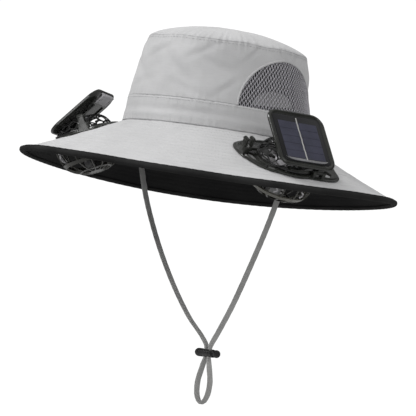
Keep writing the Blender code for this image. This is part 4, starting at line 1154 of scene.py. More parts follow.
def cord_centre(count):
    """Evenly spaced points of a smooth curve through the route."""
    route = [Vector((x, 0.0, z)) for x, z in CORD_ROUTE]
    fine, last = [], len(route) - 1
    for index in range(last):
        knots = [route[min(max(index + shift, 0), last)] for shift in (-1, 0, 1, 2)]
        fine += [curve_through(*knots, step / 12) for step in range(12)]
    fine.append(route[-1])
    lengths = [0.0]
    for start, end in zip(fine, fine[1:]):
        lengths.append(lengths[-1] + (end - start).length)
    points, index = [], 0
    for step in range(count):
        target = lengths[-1] * step / (count - 1)
        while index < len(fine) - 2 and lengths[index + 1] < target:
            index += 1
        share = (target - lengths[index]) / (lengths[index + 1] - lengths[index])
        points.append(fine[index].lerp(fine[index + 1], share))
    return points


def make_cord():
    """Flat woven cord: its width lies across the view from the side, and it is squeezed in the lock."""
    centre = cord_centre(CORD_STEPS)
    section, sides = [], 16
    for step in range(sides):
        angle = math.tau * step / sides
        reach = math.copysign(abs(math.cos(angle)) ** 0.45, math.cos(angle))
        section.append((0.5 * reach, 0.5 * math.copysign(abs(math.sin(angle)) ** 0.75, math.sin(angle))))
    rows = []
    for index, place in enumerate(centre):
        before, after = centre[max(index - 1, 0)], centre[min(index + 1, CORD_STEPS - 1)]
        run = (after - before).normalized()
        flat = Vector((0.0, 1.0, 0.0))
        thick = run.cross(flat).normalized()
        pinch = math.exp(-((place.z - LOCK_PLACE[2]) / (6.5 * MM)) ** 2)
        width = mix(CORD_WIDTH, 3.6 * MM, pinch)
        height = mix(CORD_THICKNESS, 2.2 * MM, pinch)
        edge = 1.0 + 0.03 * math.sin(index * 2.1)
        sway = Vector((0.0, 0.6 * MM * math.sin(index * 0.11), 0.0))
        rows.append([place + sway + flat * (width * edge * a) + thick * (height * b) for a, b in section])
    across = [CORD_WIDTH * 2.2 * index / sides for index in range(sides + 1)]
    along = [CORD_LENGTH * index / (CORD_STEPS - 1) for index in range(CORD_STEPS + 1)]
    cord = grid_mesh("chin_cord_woven", rows, caps=True, across=across, along=along)
    dress(cord, PAINT["grey_cord"], "grey_cord", ROOT, "chin_cord")
    make_lock()
    return cord


# Fan units


def add_tube(points, faces, line, radius, sides=8, closed=False, up=None, flat=1.0):
    """A tube through places; flat squeezes it along the up direction."""
    first, count = len(points), len(line)
    lift = up or Vector((0.0, 0.0, 1.0))
    for index, place in enumerate(line):
        before = line[index - 1] if closed or index else line[0]
        after = line[(index + 1) % count] if closed or index < count - 1 else line[-1]
        run = (after - before).normalized()
        side = run.cross(lift).normalized()
        rise = side.cross(run).normalized()
        for corner in range(sides):
            angle = math.tau * corner / sides
            across, above = radius * math.cos(angle), radius * flat * math.sin(angle)
            points.append(place + side * across + rise * above)
    skin_rings(faces, first, count, sides, closed, not closed)


def from_parts(name, points, faces, degrees=40.0):
    made = finish_mesh(name, points, faces)
    face_out_each(made)
    sharpen(made, degrees)
    return made


def solid(name, loops):
    return grid_mesh(name, loops, caps=True)


def box_outline(low, high):
    return (low[0], low[1]), (high[0], low[1]), (high[0], high[1]), (low[0], high[1])


def circle(radius, sides, centre=(0.0, 0.0)):
    turns = [math.tau * step / sides for step in range(sides)]
    return [(centre[0] + radius * math.cos(a), centre[1] + radius * math.sin(a)) for a in turns]


def fan_xy(radius, angle):
    return FAN_PLACE[0] + radius * math.cos(angle), FAN_PLACE[1] + radius * math.sin(angle)


def round_outline(shares, grow=0.0, steps=6):
    """A smooth closed outline through the frame's points."""
    half_length = 0.5 * FRAME_LENGTH + grow
    half_width = 0.5 * FRAME_WIDTH + grow
    corners = [(FRAME_CENTRE[0] + a * half_length, FRAME_CENTRE[1] + b * half_width) for a, b in shares]
    outline, count = [], len(corners)
    for index in range(count):
        knots = [corners[(index + shift) % count] for shift in (-1, 0, 1, 2)]
        for step in range(steps):
            outline.append(tuple(curve_through(*places, step / steps) for places in zip(*knots)))
    return outline


def flat_solid(name, tiers):
    """A solid from (outline, height) tiers, in a unit's own directions."""
    return solid(name, [[Vector((x, y, height)) for x, y in outline] for outline, height in tiers])


def soft_box(name, low, high, radius=0.6 * MM):
    """A box with rounded edges."""
    outline = box_outline(low, high)
    made = flat_solid(name, [(outline, low[2]), (outline, high[2])])
    round_edges(made, radius)
    return made


def round_edges(item, radius):
    with editing(item) as builder:
        edges = builder.edges[:]
        bmesh.ops.bevel(builder, geom=edges, offset=radius, segments=2, affect="EDGES", profile=0.6)


def join(target, tools):
    for tool in tools:
        carve(target, tool, "UNION")


def lay_on_brim(item, turn):
    """Slices a flat-built solid and bends it on to the brim."""
    slice_step = 5.0 * MM
    with editing(item) as builder:
        for axis, normal in ((0, (1, 0, 0)), (1, (0, 1, 0))):
            reach = max(abs(vertex.co[axis]) for vertex in builder.verts)
            slices = int(reach / slice_step)
            for step in range(-slices, slices + 1):
                where = Vector((0.0, 0.0, 0.0))
                where[axis] = step * slice_step
                parts = builder.verts[:] + builder.edges[:] + builder.faces[:]
                bmesh.ops.bisect_plane(builder, geom=parts, dist=0.005 * MM, plane_co=where, plane_no=normal)
        for vertex in builder.verts:
            vertex.co = brim_place(turn, *vertex.co)
        bmesh.ops.triangulate(builder, faces=[f for f in builder.faces if len(f.verts) > 4])
    face_out(item)
    sharpen(item)
    return item


def set_in_unit(item, turn):
    for vertex in item.data.vertices:
        vertex.co = unit_point(turn, *vertex.co)
    face_out(item)
    sharpen(item)
    return item


def rod(name, out, up, radius, start, end, sides=28):
    ring = circle(radius, sides, (out, up))
    return solid(name, [[Vector((along, y, z)) for y, z in ring] for along in (start, end)])


def make_frame_shell(side_name, turn):
    """Moulded frame: thin flange, raised deck with a lip, duct, openings, clip and ears."""
    profile = (
        (-0.5, 0.3), (0.0, 0.55), (0.0, 1.5), (-0.5, 1.95), (-1.9, 2.05),
        (-2.3, 2.6), (-2.8, 3.25), (-3.7, 3.35), (-4.4, 3.2), (-4.8, 2.5),
    )
    tiers = [(round_outline(FRAME_OUTLINE, grow * MM), height * MM) for grow, height in profile]
    shell_piece = flat_solid("fan_frame_shell_" + side_name, tiers)
    duct, rim = DUCT_RADIUS + DUCT_WALL, GRILLE_RADIUS + 2.6 * MM
    profile = ((duct, -6.5), (duct, 1.0), (rim, 1.0), (rim, 2.9), (rim - 0.6 * MM, 3.3))
    tools = [
        flat_solid("collar", [(circle(radius, 72, FAN_PLACE), height * MM) for radius, height in profile])
    ]

    def clip_block(low, high, radius=0.6):
        """A box given in millimetres from the clip's middle."""
        low, high = ((CLIP_PLACE[0] + x * MM, CLIP_PLACE[1] + y * MM, z * MM) for x, y, z in (low, high))
        tools.append(soft_box("clip", low, high, radius * MM))

    clip_block((-4.5, -5.5, 1.0), (4.5, 5.5, 9.6))
    for start in (-4.5, 2.1):
        clip_block((start, -3.3, 8.0), (start + 2.4, 3.3, 18.1))
        clip_block((start - 0.4, -3.6, 15.4), (start + 2.8, 3.6, 17.2), 0.4)
    clip_block((3.0, -3.0, 5.2), (11.2, 3.0, 8.2))
    clip_block((1.0, 6.0, 1.5), (16.0, 7.6, 4.6), 0.4)
    for start, end in EAR_SPANS:
        low, high = (start, HINGE_OUT - HINGE_RADIUS, 1.5 * MM), (end, HINGE_OUT + HINGE_RADIUS, HINGE_UP)
        tools.append(soft_box("foot", low, high, 0.4 * MM))
        tools.append(rod("ear", HINGE_OUT, HINGE_UP, HINGE_RADIUS, start, end))
    join(shell_piece, tools)
    high = 40.0 * MM
    for radius, start in ((GRILLE_RADIUS + 0.6 * MM, FRAME_HEIGHT - 0.1 * MM), (DUCT_RADIUS, -30.0 * MM)):
        ring = circle(radius, 72, FAN_PLACE)
        carve(shell_piece, flat_solid("bore", [(ring, start), (ring, high)]))
    for shares in (FRONT_OPENING, BACK_OPENING):
        outline = round_outline(shares, 0.0, 5)
        carve(shell_piece, flat_solid("opening", [(outline, -4.0 * MM), (outline, 6.0 * MM)]))
    lay_on_brim(shell_piece, turn)
    return dress(shell_piece, PAINT["black_plastic"], "black_plastic", ROOT, "fan_frame_" + side_name)


def grille_level(radius):
    inside = min(1.0, radius / GRILLE_RADIUS)
    return FRAME_HEIGHT + GAP + GRILLE_WALL + GRILLE_RISE * (1.0 - inside ** GRILLE_FULLNESS)


WEB_RINGS = ((0.34, 0.05, 16), (0.62, 0.06, 32), (0.83, 0.045, 32), (0.955, 0.018, 32))
WEB_STRAND = 0.68 * MM
WEB_RIM = 28.1 * MM
WEB_HUB = 7.0 * MM
WEB_SWELL = 4.5 * MM


def web_level(along, out):
    """Height of the shown dome: full towards the crown, lower under the panel."""
    right, ahead = along - FAN_PLACE[0], out - FAN_PLACE[1]
    reach = min(1.0, math.hypot(right, ahead) / GRILLE_RADIUS)
    free = smooth(0.5 - 0.75 * (0.6 * ahead + 0.72 * right) / GRILLE_RADIUS)
    fullness = mix(2.4, 5.5, free)
    swell = WEB_SWELL * free * smooth(reach * 1.6) * (1.0 - reach ** 7)
    return FRAME_HEIGHT + GAP + GRILLE_WALL + GRILLE_RISE * (1.0 - reach ** fullness) + swell


def web_place(turn, x, y, sink):
    return brim_place(turn, x, y, web_level(x, y) - sink)


def web_strand(points, faces, turn, start, end):
    line = []
    for step in range(6):
        x, y = mix(start[0], end[0], step / 5), mix(start[1], end[1], step / 5)
        line.append(web_place(turn, x, y, 0.8 * MM))
    add_tube(points, faces, line, WEB_STRAND, up=AXES[turn][3])


def make_web(side_name, turn):
    """Web grille: zigzag rings joined in turn make six-sided cells on a dome, with a hub and a rim."""
    points, faces = [], []
    up = AXES[turn][3]
    rings, around = [], WEB_RINGS[-1][2]

    def spoke(j, count, ring):
        return math.tau * j / count + 0.05 * ring

    for ring, (share, sway, count) in enumerate(WEB_RINGS):
        nodes = []
        for j in range(count):
            inner = (j + max(0, ring - 1)) % 2 == 0
            reach = share - sway if inner else share + sway
            drift = 0.1 * math.sin(3.1 * j + 1.3 * ring)
            nodes.append(fan_xy(reach * GRILLE_RADIUS, spoke(j + drift, count, ring)))
        rings.append(nodes)
    for ring, nodes in enumerate(rings):
        for j in range(len(nodes)):
            web_strand(points, faces, turn, nodes[j], nodes[(j + 1) % len(nodes)])
    for j in range(1, len(rings[0]), 2):
        web_strand(points, faces, turn, rings[0][j], rings[1][2 * j])
        hub = fan_xy(6.6 * MM, spoke(j - 1, len(rings[0]), 0))
        web_strand(points, faces, turn, hub, rings[0][j - 1])
    for low, high, start in ((rings[1], rings[2], 1), (rings[2], rings[3], 0)):
        for j in range(start, around, 2):
            web_strand(points, faces, turn, low[j], high[j])
    for j in range(1, around, 2):
        web_strand(points, faces, turn, rings[3][j], fan_xy(28.0 * MM, spoke(j, around, 3)))
    rims = ((WEB_RIM, 1.0 * MM), (WEB_HUB, 0.8 * MM))
    for radius, thick in rims:
        line = []
        for step in range(96):
            x, y = fan_xy(radius, math.tau * step / 96)
            level = web_level(x, y) - 0.6 * MM
            if radius == WEB_RIM:
                level = min(web_level(x, y), FRAME_HEIGHT + 1.4 * MM)
            line.append(brim_place(turn, x, y, level))
        add_tube(points, faces, line, thick, 10, closed=True, up=up)
    first = len(points)
    rows = ((0.2, 0.0), (5.5, -0.05), (6.7, -0.5), (6.7, -1.4), (0.2, -1.4))
    for radius, sink in rows:
        for step in range(32):
            place = fan_xy(radius * MM, math.tau * step / 32)
            points.append(brim_place(turn, *place, grille_level(0.0) + sink * MM))
    skin_rings(faces, first, len(rows), 32)
    web = from_parts("fan_web_" + side_name, points, faces)
    dress(web, PAINT["gloss_black"], "black_plastic", ROOT, "fan_grille_" + side_name)
    block = flat_solid("fan_block_" + side_name, block_tiers())
    lay_on_brim(block, turn)
    dress(block, PAINT["black_plastic"], "black_plastic")


def block_tiers():
    """Block under the panel, its outer side rounded with the grille's rim."""
    tiers = []
    for inset, height in ((0.5, 4.2), (0.0, 4.6), (0.0, 6.9), (0.5, 7.35)):
        outline = []
        start, end = -13.0 + inset, 15.5 - inset
        for step in range(13):
            along = mix(start, end, step / 12)
            reach = math.sqrt(28.9 ** 2 - (along - FAN_PLACE[0] / MM) ** 2)
            outline.append((along * MM, (FAN_PLACE[1] / MM + reach - inset) * MM))
        outline += [(end * MM, (23.5 + inset) * MM), (start * MM, (23.5 + inset) * MM)]
        tiers.append((outline, height * MM))
    return tiers


def make_impeller(side_name, turn):
    """Hub with seven swept, twisted blades."""
    points, faces = [], []

    def at(radius, angle, height):
        return unit_point(turn, *fan_xy(radius, angle), height)

    rows = (
        (0.3, 3.1), (6.0, 3.1), (8.6, 2.7), (9.5, 1.7), (9.5, -6.4), (8.4, -6.6), (8.0, -5.8), (8.0, 1.0),
        (0.3, 1.0)
    )
    first, sides = len(points), 48
    for radius, height in rows:
        points.extend(at(radius * MM, math.tau * step / sides, height * MM) for step in range(sides))
    skin_rings(faces, first, len(rows), sides)
    across, out = 8, 10
    for blade in range(BLADES):
        base = math.tau * blade / BLADES
        start = len(points)
        for skin in (0.5, -0.5):
            for i in range(out + 1):
                radius = mix(9.0, 23.9, i / out)
                chord = mix(0.62, 0.36, i / out)
                for j in range(across + 1):
                    share = 2.0 * j / across - 1.0
                    angle = base + 0.02 * (radius - 9.0) + share * chord
                    round_off = 1.0 - 0.35 * max(0.0, (i / out - 0.75) / 0.25) ** 2 * share * share
                    height = -1.7 - 3.9 * share * round_off + 0.8 * (1.0 - share * share)
                    thick = 1.0 - 0.7 * share * share
                    points.append(at(radius * MM, angle, (height + skin * thick) * MM))
        stride, layer = across + 1, (across + 1) * (out + 1)
        for i in range(out):
            for j in range(across):
                a = start + i * stride + j
                faces.append((a, a + 1, a + 1 + stride, a + stride))
                faces.append((a + layer, a + layer + stride, a + layer + 1 + stride, a + layer + 1))
        ring = list(range(across + 1)) + [i * stride + across for i in range(1, out + 1)]
        ring += [out * stride + j for j in range(across - 1, -1, -1)]
        ring += [i * stride for i in range(out - 1, 0, -1)]
        for one, two in zip(ring, ring[1:] + ring[:1]):
            faces.append((start + one, start + two, start + two + layer, start + one + layer))
    wheel = from_parts("impeller_" + side_name, points, faces)
    dress(wheel, PAINT["pale_plastic_and_painted_light"], "smoky_plastic", "fan_" + side_name, "fan_impeller_" + side_name)


GUARD_SECTION = (
    (33.2, 0.4), (33.0, 5.0), (32.6, 10.0), (31.4, 16.0), (30.2, 19.8), (27.6, 23.8), (21.5, 28.2),
    (14.5, 31.2), (8.4, 32.6), (0.0, 33.0)
)
GUARD_SHIFT = 3.5 * MM
GUARD_BAND = (4.1, 4.95)
GUARD_RIBS = 14
GUARD_POSTS = 7


def guard_point(turn, mark, angle, sink=0.0):
    """A place on the shown bowl: mark counts along its section from the flange to the middle."""
    index = min(int(mark), len(GUARD_SECTION) - 2)
    share = mark - index
    (r0, d0), (r1, d1) = GUARD_SECTION[index], GUARD_SECTION[index + 1]
    radius = max(0.0, mix(r0, r1, share) * MM - sink * 0.8)
    depth = mix(d0, d1, share) * MM - sink * 0.6
    x, y = fan_xy(radius, angle)
    return brim_place(turn, x + GUARD_SHIFT * smooth(depth / (16.0 * MM)), y, UNDERSIDE - GAP - depth)


def add_skin(points, faces, turn, low, high, wall, sides=96, steps=8):
    """A closed ring of the bowl's own skin between two marks of its section."""
    first = len(points)
    rows = [(mix(low, high, step / steps), 0.0) for step in range(steps + 1)]
    rows += [(mix(high, low, step / steps), wall) for step in range(steps + 1)]
    for mark, sink in rows:
        points.extend(guard_point(turn, mark, math.tau * step / sides, sink) for step in range(sides))
    skin_rings(faces, first, len(rows), sides, True, False)


def make_guard(side_name, turn):
    """Clear smoky bowl: a flange, slender posts painted pale as painted highlights, a band low down that is
    pale on the wearer's left and painted shade on the wearer's right, and a ribbed bottom with a hub.
    """
    points, faces = [], []
    up = AXES[turn][3]
    for low, high, wall in ((0.0, 0.75, 1.3 * MM), (6.75, 7.0, 1.2 * MM), (8.0, 9.0, 1.4 * MM)):
        add_skin(points, faces, turn, low, high, wall)
    for rib in range(GUARD_RIBS):
        base = math.tau * rib / GUARD_RIBS + 0.11
        shares = [step / 20 for step in range(21)]
        line = [guard_point(turn, mix(0.6, 8.1, share), base + 0.16 * share, 0.7 * MM) for share in shares]
        add_tube(points, faces, line, 0.8 * MM, 8, up=up)
    bowl = from_parts("guard_bowl_" + side_name, points, faces)
    dress(bowl, PAINT["smoke"], "smoky_plastic", ROOT, "lower_guard_" + side_name)
    points, faces = [], []
    add_skin(points, faces, turn, *GUARD_BAND, 1.4 * MM)
    band = from_parts("guard_band_" + side_name, points, faces)
    # The wearer's right unit gets the band's darker copy: painted shade
    dress(band, PAINT["olive_clear" if turn > 0 else "olive_painted_shade"], "smoky_plastic")
    points, faces = [], []
    for post in range(GUARD_POSTS):
        base = math.tau * post / GUARD_POSTS + 0.4
        line = []
        for step in range(9):
            line.append(guard_point(turn, mix(1.6, 3.3, step / 8), base + 0.05 * math.sin(step), 0.2 * MM))
        add_tube(points, faces, line, 0.9 * MM, 8, up=up)
    posts = from_parts("guard_highlight_posts_" + side_name, points, faces)
    # The posts are painted pale: painted highlights on the clear ribs
    dress(posts, PAINT["pale_plastic_and_painted_light"], "smoky_plastic")


# Solar panels


def panel_point(turn, across, up_panel, off):
    cosine, sine = math.cos(PANEL_TILTS[turn]), math.sin(PANEL_TILTS[turn])
    rise = up_panel - HINGE_INSET
    ahead = off + HINGE_DEPTH
    out = HINGE_OUT - rise * cosine + ahead * sine
    up = HINGE_UP + rise * sine + ahead * cosine
    return unit_point(turn, PANEL_ALONG + across, out, up)


def rounded_square(half, corner):
    points, steps = [], 9
    for quarter in range(4):
        middle_x = (half - corner) * (1 if quarter in (0, 3) else -1)
        middle_y = (half - corner) * (1 if quarter in (0, 1) else -1)
        for step in range(steps + 1):
            angle = 0.5 * math.pi * (quarter + step / steps)
            points.append((middle_x + corner * math.cos(angle), middle_y + corner * math.sin(angle)))
    return points


def panel_loop(turn, half, corner, off):
    middle = 0.5 * PANEL_SIDE
    return [panel_point(turn, x, middle + y, off) for x, y in rounded_square(half, corner)]


def panel_box(name, turn, low, high, radius=0.4):
    """A rounded box in millimetres, in the panel's directions: across, up the panel and off its face."""
    made = soft_box(name, [size * MM for size in low], [size * MM for size in high], radius * MM)
    for vertex in made.data.vertices:
        vertex.co = panel_point(turn, *vertex.co)
    face_out(made)
    return made


def make_dish(side_name, turn):
    """Shallow dish with a rolled lip, ribs and a screwed plate on its back, painted pale as painted light
    where the back is lit, its hinge knuckle and its leg.
    """
    half = 0.5 * PANEL_SIDE
    window = half - SHOWN_BORDER
    rows = (
        (0.50, 0.7, -6.5), (0.72, 0.8, -6.2), (0.86, 0.9, -5.3), (0.93, 1.0, -4.5), (0.975, 1.0, -3.6),
        (1.0, 1.0, -2.5), (1.0, 1.0, -1.1), (0.985, 1.0, -0.35), (0.96, 1.0, 0.0), (0.935, 0.9, 0.0),
        (0.915, 0.85, -0.45),
    )
    loops = [panel_loop(turn, size * half, corner * PANEL_CORNER, off * MM) for size, corner, off in rows]
    for wider, corner, off in ((1.0, 6.2, -0.8), (0.0, 5.2, -1.1), (0.0, 5.2, -1.5)):
        loops.append(panel_loop(turn, window + wider * MM, corner * MM, off * MM))
    dish = solid("panel_dish_" + side_name, loops)
    tools = [set_in_unit(rod("knuckle", HINGE_OUT, HINGE_UP, HINGE_RADIUS, *KNUCKLE_SPAN), turn)]
    tools.append(panel_box("web", turn, (12.6, 0.2, -8.0), (19.0, 3.4, -3.0)))
    for across in (-14.0, 14.0):
        tools.append(panel_box("rib", turn, (across - 0.8, 10.0, -7.6), (across + 0.8, 50.0, -5.0)))
    join(dish, tools)
    sharpen(dish, 32.0)
    dress(dish, PAINT["black_plastic"], "black_plastic", "panel_" + side_name, "solar_frame_" + side_name)
    name = "panel_plate_painted_light_" + side_name
    plate = panel_box(name, turn, (-17.0, 52.5, -7.2), (17.0, 64.0, -5.6), 0.5)
    carve(plate, panel_box("end", turn, (-17.0, 62.4, -6.8), (17.0, 64.0, -2.2)), "UNION")
    for across in (-12.0, 12.0):
        carve(plate, panel_box("slot", turn, (across - 1.0, 55.0, -9.0), (across + 1.0, 59.5, -5.0), 0.3))
    sharpen(plate, 32.0)
    # The plate is painted pale: painted light on the lit back of the panel
    dress(plate, PAINT["pale_plastic_and_painted_light"], "black_plastic", "panel_" + side_name)
    half_leg, foot = 4.5 * MM, grille_level(0.0) + GAP
    loops = []
    for shift in (-1.2 * MM, 1.2 * MM):
        ends = (LEG_PLACE[0] - half_leg, LEG_PLACE[0] + half_leg)
        loop = [panel_point(turn, along - PANEL_ALONG, 30.0 * MM + shift, -3.6 * MM) for along in ends]
        loop += [brim_place(turn, along, LEG_PLACE[1] - shift, foot) for along in ends[::-1]]
        loops.append(loop)
    leg = solid("panel_leg_" + side_name, loops)
    round_edges(leg, 0.5 * MM)
    face_out(leg)
    sharpen(leg)
    dress(leg, PAINT["grey_plastic"], "black_plastic", "panel_" + side_name)
    lift = brim_place(turn, *LEG_PLACE, 0.0) - unit_point(turn, *LEG_PLACE, 0.0)
    low = (-8.5 * MM, -6.0 * MM, foot + 0.2 * MM)
    shoe = soft_box("leg_shoe_" + side_name, low, (2.5 * MM, 2.0 * MM, foot + 4.2 * MM), 0.6 * MM)
    set_in_unit(shoe, turn)
    for vertex in shoe.data.vertices:
        vertex.co += lift
    dress(shoe, PAINT["grey_plastic"], "black_plastic", "panel_" + side_name)


def make_cell(side_name, turn):
    """Solar cell: dark laminate, rows of wafers with thin gaps, a middle strip of solder and a resin edge
    whose grey is a painted reflection on the raised bevel.
    """
    window = 0.5 * PANEL_SIDE - SHOWN_BORDER - GAP
    tiers = ((0.0, -1.5), (0.0, -1.0), (0.35, -0.85))
    loops = [panel_loop(turn, window - inset * MM, 4.9 * MM, off * MM) for inset, off in tiers]
    plate = solid("cell_plate_" + side_name, loops)
    sharpen(plate)
    body = "panel_" + side_name
    dress(plate, PAINT["laminate"], "solar_glass", body, "solar_cell_" + side_name)
    points, faces = [], []
    low_edge, row_height, gap = 9.8 * MM, 8.55 * MM, 0.28 * MM
    for row in range(CELL_ROWS):
        bottom = low_edge + row * row_height
        for side in (-1, 1):
            near, far = 0.95 * MM * side, 22.3 * MM * side
            low = (min(near, far), bottom, -0.95 * MM)
            high = (max(near, far), bottom + row_height - gap, -0.72 * MM)
            box_points(points, faces, turn, low, high)
    wafers = from_parts("cell_wafers_" + side_name, points, faces, 20.0)
    dress(wafers, PAINT["wafer"], "solar_glass", body)
    line = []
    for step in range(25):
        sway = 0.16 * MM * math.sin(step * 1.7) + 0.1 * MM * math.sin(step * 0.6)
        line.append(panel_point(turn, sway, mix(7.4 * MM, 57.4 * MM, step / 24), -0.68 * MM))
    points, faces = [], []
    normal = panel_point(turn, 0.0, 0.0, MM) - panel_point(turn, 0.0, 0.0, 0.0)
    add_tube(points, faces, line, 0.75 * MM, 8, up=normal.normalized(), flat=0.3)
    strip = from_parts("cell_strip_" + side_name, points, faces)
    dress(strip, PAINT["silver"], "steel", body)
    # Grey strip along the lower edge, bent up at its ends: a painted reflection on the raised bevel
    rows, reach = [], 24.3
    for step in range(33):
        across = mix(-reach, reach, step / 32)
        bend = (across / reach) ** 6
        low, high = 6.0 + 3.4 * bend, 9.2 + 0.8 * bend
        corners = ((low, -0.9), (high, -0.9), (high, -0.7), (low, 0.1))
        rows.append([panel_point(turn, across * MM, up * MM, off * MM) for up, off in corners])
    edge = grid_mesh("cell_painted_reflection_" + side_name, rows, caps=True)
    sharpen(edge)
    dress(edge, PAINT["resin"], "solar_glass", body)


def box_points(points, faces, turn, low, high):
    first = len(points)
    for off in (low[2], high[2]):
        points.extend(panel_point(turn, x, y, off) for x, y in box_outline(low, high))
    for face in ((3, 2, 1, 0), (4, 5, 6, 7), (0, 1, 5, 4), (1, 2, 6, 5), (2, 3, 7, 6), (3, 0, 4, 7)):
        faces.append(tuple(first + index for index in face))


def make_screws(side_name, turn):
    """Cross-head screws on the frame's deck."""
    for number, (along, out) in enumerate(SCREW_PLACES):
        middle = (along * MM, out * MM)
        sizes = ((1.9, 2.2), (1.9, 3.0), (1.2, 3.5))
        tiers = [(circle(radius * MM, 20, middle), height * MM) for radius, height in sizes]
        screw = flat_solid(f"screw_{side_name}_{number}", tiers)
        for right, ahead in ((1.3, 0.25), (0.25, 1.3)):
            low = (middle[0] - right * MM, middle[1] - ahead * MM, 3.0 * MM)
            high = (middle[0] + right * MM, middle[1] + ahead * MM, 4.0 * MM)
            carve(screw, soft_box("cross", low, high, 0.05 * MM))
        lay_on_brim(screw, turn)
        dress(screw, PAINT["gloss_black"], "steel")


# Cord lock and tabs


def oval_rows(rows, half_width, half_height):
    """Oval loops along the lock; each row has its place in millimetres from the middle, and its share."""
    loops = []
    for x, share in rows:
        ring = circle(share, 48)
        loops.append([
            Vector((LOCK_PLACE[0] + x * MM, half_width * across, LOCK_PLACE[2] + half_height * above))
            for across, above in ring
        ])
    return loops


def lock_box(low, high):
    """A box given in millimetres from the lock's middle."""
    low, high = ([LOCK_PLACE[axis] + corner[axis] * MM for axis in range(3)] for corner in (low, high))
    outline = box_outline(low, high)
    return flat_solid("box", [(outline, low[2]), (outline, high[2])])


def make_lock():
    """Barrel with a ribbed waist and a through slot, and its plunger: a domed head with two arms."""
    start, end = -13.0, 7.6 - GAP / MM
    rows = [(start + 0.05, 0.60), (start + 0.5, 0.82), (start + 1.5, 0.97), (start + 2.3, 1.0)]
    for groove in range(4):
        middle = start + 4.0 + 1.7 * groove
        rows += [(middle - 0.55, 1.0), (middle - 0.25, 0.94), (middle + 0.25, 0.94), (middle + 0.55, 1.0)]
    rows += [(end - 3.2, 1.0), (end - 2.8, 0.9), (end - 2.2, 0.9), (end - 1.8, 0.97), (end - 0.3, 0.97)]
    barrel = solid("lock_barrel", oval_rows(rows + [(end, 0.93)], 5.5 * MM, 4.1 * MM))
    carve(barrel, lock_box((-5.5, -2.9, -9.0), (5.5, 2.9, 9.0)))
    carve(barrel, lock_box((0.0, -3.9, -2.8), (end + 1.0, 3.9, 2.8)))
    sharpen(barrel, 30.0)
    dress(barrel, PAINT["lock_plastic"], "black_plastic", ROOT, "cord_lock_barrel")
    head = end + GAP / MM + 2.8
    rows = [(head, 0.92), (head + 0.3, 1.0), (head + 1.3, 1.0), (head + 2.0, 0.93), (head + 2.45, 0.75)]
    plunger = solid("lock_plunger_head", oval_rows(rows + [(head + 2.6, 0.5)], 5.17 * MM, 3.85 * MM))
    for side in (-1, 1):
        near, far = sorted((3.1 * side, 3.75 * side))
        carve(plunger, lock_box((4.5, near, -2.4), (head + 0.6, far, 2.4)), "UNION")
    sharpen(plunger, 30.0)
    dress(plunger, PAINT["lock_plastic"], "black_plastic", "lock_plunger", "cord_lock_plunger")
    return barrel, plunger


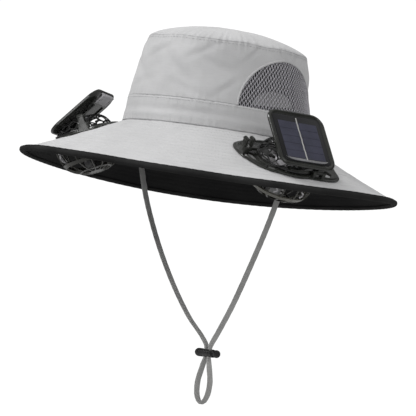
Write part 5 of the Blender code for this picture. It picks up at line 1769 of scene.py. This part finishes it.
def make_tab(side_name, turn):
    """Sewn cloth tab that holds the cord's end, with crossed stitches."""
    phi = turn * 0.5 * math.pi
    middle = (TAB_OUT - 0.5 * CROWN_WIDTH) / (0.5 * (BRIM_WIDTH - CROWN_WIDTH))
    top = UNDERSIDE - 0.1 * MM

    def at(a, b, lift):
        """A place on the tab: a and b run from -1 to 1 across it and along it."""
        return brim_point(phi + a * TAB_HALF[0] / TAB_OUT, middle + b * TAB_HALF[1] / BRIM_SLANT, lift)

    def puff(a, b):
        return (1.0 - a ** 6) * (1.0 - b ** 6)

    count = 12
    rows = []
    for skin in (1, 0):
        for i in range(count + 1) if skin else range(count, -1, -1):
            b = 2.0 * i / count - 1.0
            row = []
            for j in range(count + 1):
                a = 2.0 * j / count - 1.0
                row.append(at(a * 0.99, b * 0.99, top - skin * (0.7 + 1.5 * puff(a, b)) * MM))
            rows.append(row)
    points = [p for row in rows for p in row]
    faces, stride, total = [], count + 1, len(rows)
    for i in range(total):
        for j in range(count):
            a, c = i * stride + j, ((i + 1) % total) * stride + j
            faces.append((a, a + 1, c + 1, c))
    for j in (0, count):
        faces.append(tuple(i * stride + j for i in range(total)))
    uvs = []
    for face in faces:
        for index in face:
            uvs.append(((index % stride) * MM, (index // stride) * MM * 1.15))
    tab = finish_mesh("cord_tab_cloth_" + side_name, points, faces, uvs=uvs)
    face_out_each(tab)
    sharpen(tab, 50.0)
    dress(tab, PAINT["dark_cloth"], "dark_cloth", ROOT, "cord_tab_" + side_name)
    off = -brim_normal(phi, middle)
    square = [(-0.75, -0.75), (0.75, -0.75), (0.75, 0.75), (-0.75, 0.75), (-0.75, -0.75), (0.75, 0.75)]
    line = []
    for (a0, b0), (a1, b1) in zip(square, square[1:]):
        for step in range(8):
            a, b = mix(a0, a1, step / 8), mix(b0, b1, step / 8)
            line.append((at(a, b, top - (0.72 + 1.5 * puff(a, b)) * MM), off))
    stitches(
        "tab_stitches_" + side_name, [line], PAINT["grey_thread"], "dark_cloth", pitch=2.4 * MM,
        length=1.7 * MM
    )


# Making it all

make_camera()
make_cord()
make_studio()
make_crown_side()
make_crown_band()
make_crown_top()
make_brim_layer("brim_top_cloth", "brim_top", PAINT["brim_cloth"], "grey_cloth", 0.0, -CLOTH, "top")
make_brim_layer(
    "brim_under_cloth", "brim_underside", PAINT["dark_cloth"], "dark_cloth", -CLOTH - GAP, UNDERSIDE, "bottom"
)
make_binding()
# The pale half-moon inside the crown's back is painted light
make_painted_light_patch()
for side_name, turn in SIDES.items():
    make_net(side_name, turn)
    make_piping(side_name, turn)
    make_frame_shell(side_name, turn)
    make_web(side_name, turn)
    make_impeller(side_name, turn)
    make_guard(side_name, turn)
    make_dish(side_name, turn)
    make_cell(side_name, turn)
    make_screws(side_name, turn)
    make_tab(side_name, turn)
make_stitches()

NODE_PAINT = {
    "fan_frame": "black_plastic", "fan_grille": "black_plastic", "solar_frame": "black_plastic",
    "fan_impeller": "black_plastic", "lower_guard": "black_plastic", "fan_motor": "motor_metal",
    "hinge_pin": "steel", "solar_cell": "laminate", "cord_tab": "dark_cloth", "cord_lock": "lock_plastic",
}
for name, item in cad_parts.items():
    for start, paint in NODE_PAINT.items():
        if name.startswith(start):
            item.data.materials.clear()
            item.data.materials.append(PAINT[paint])
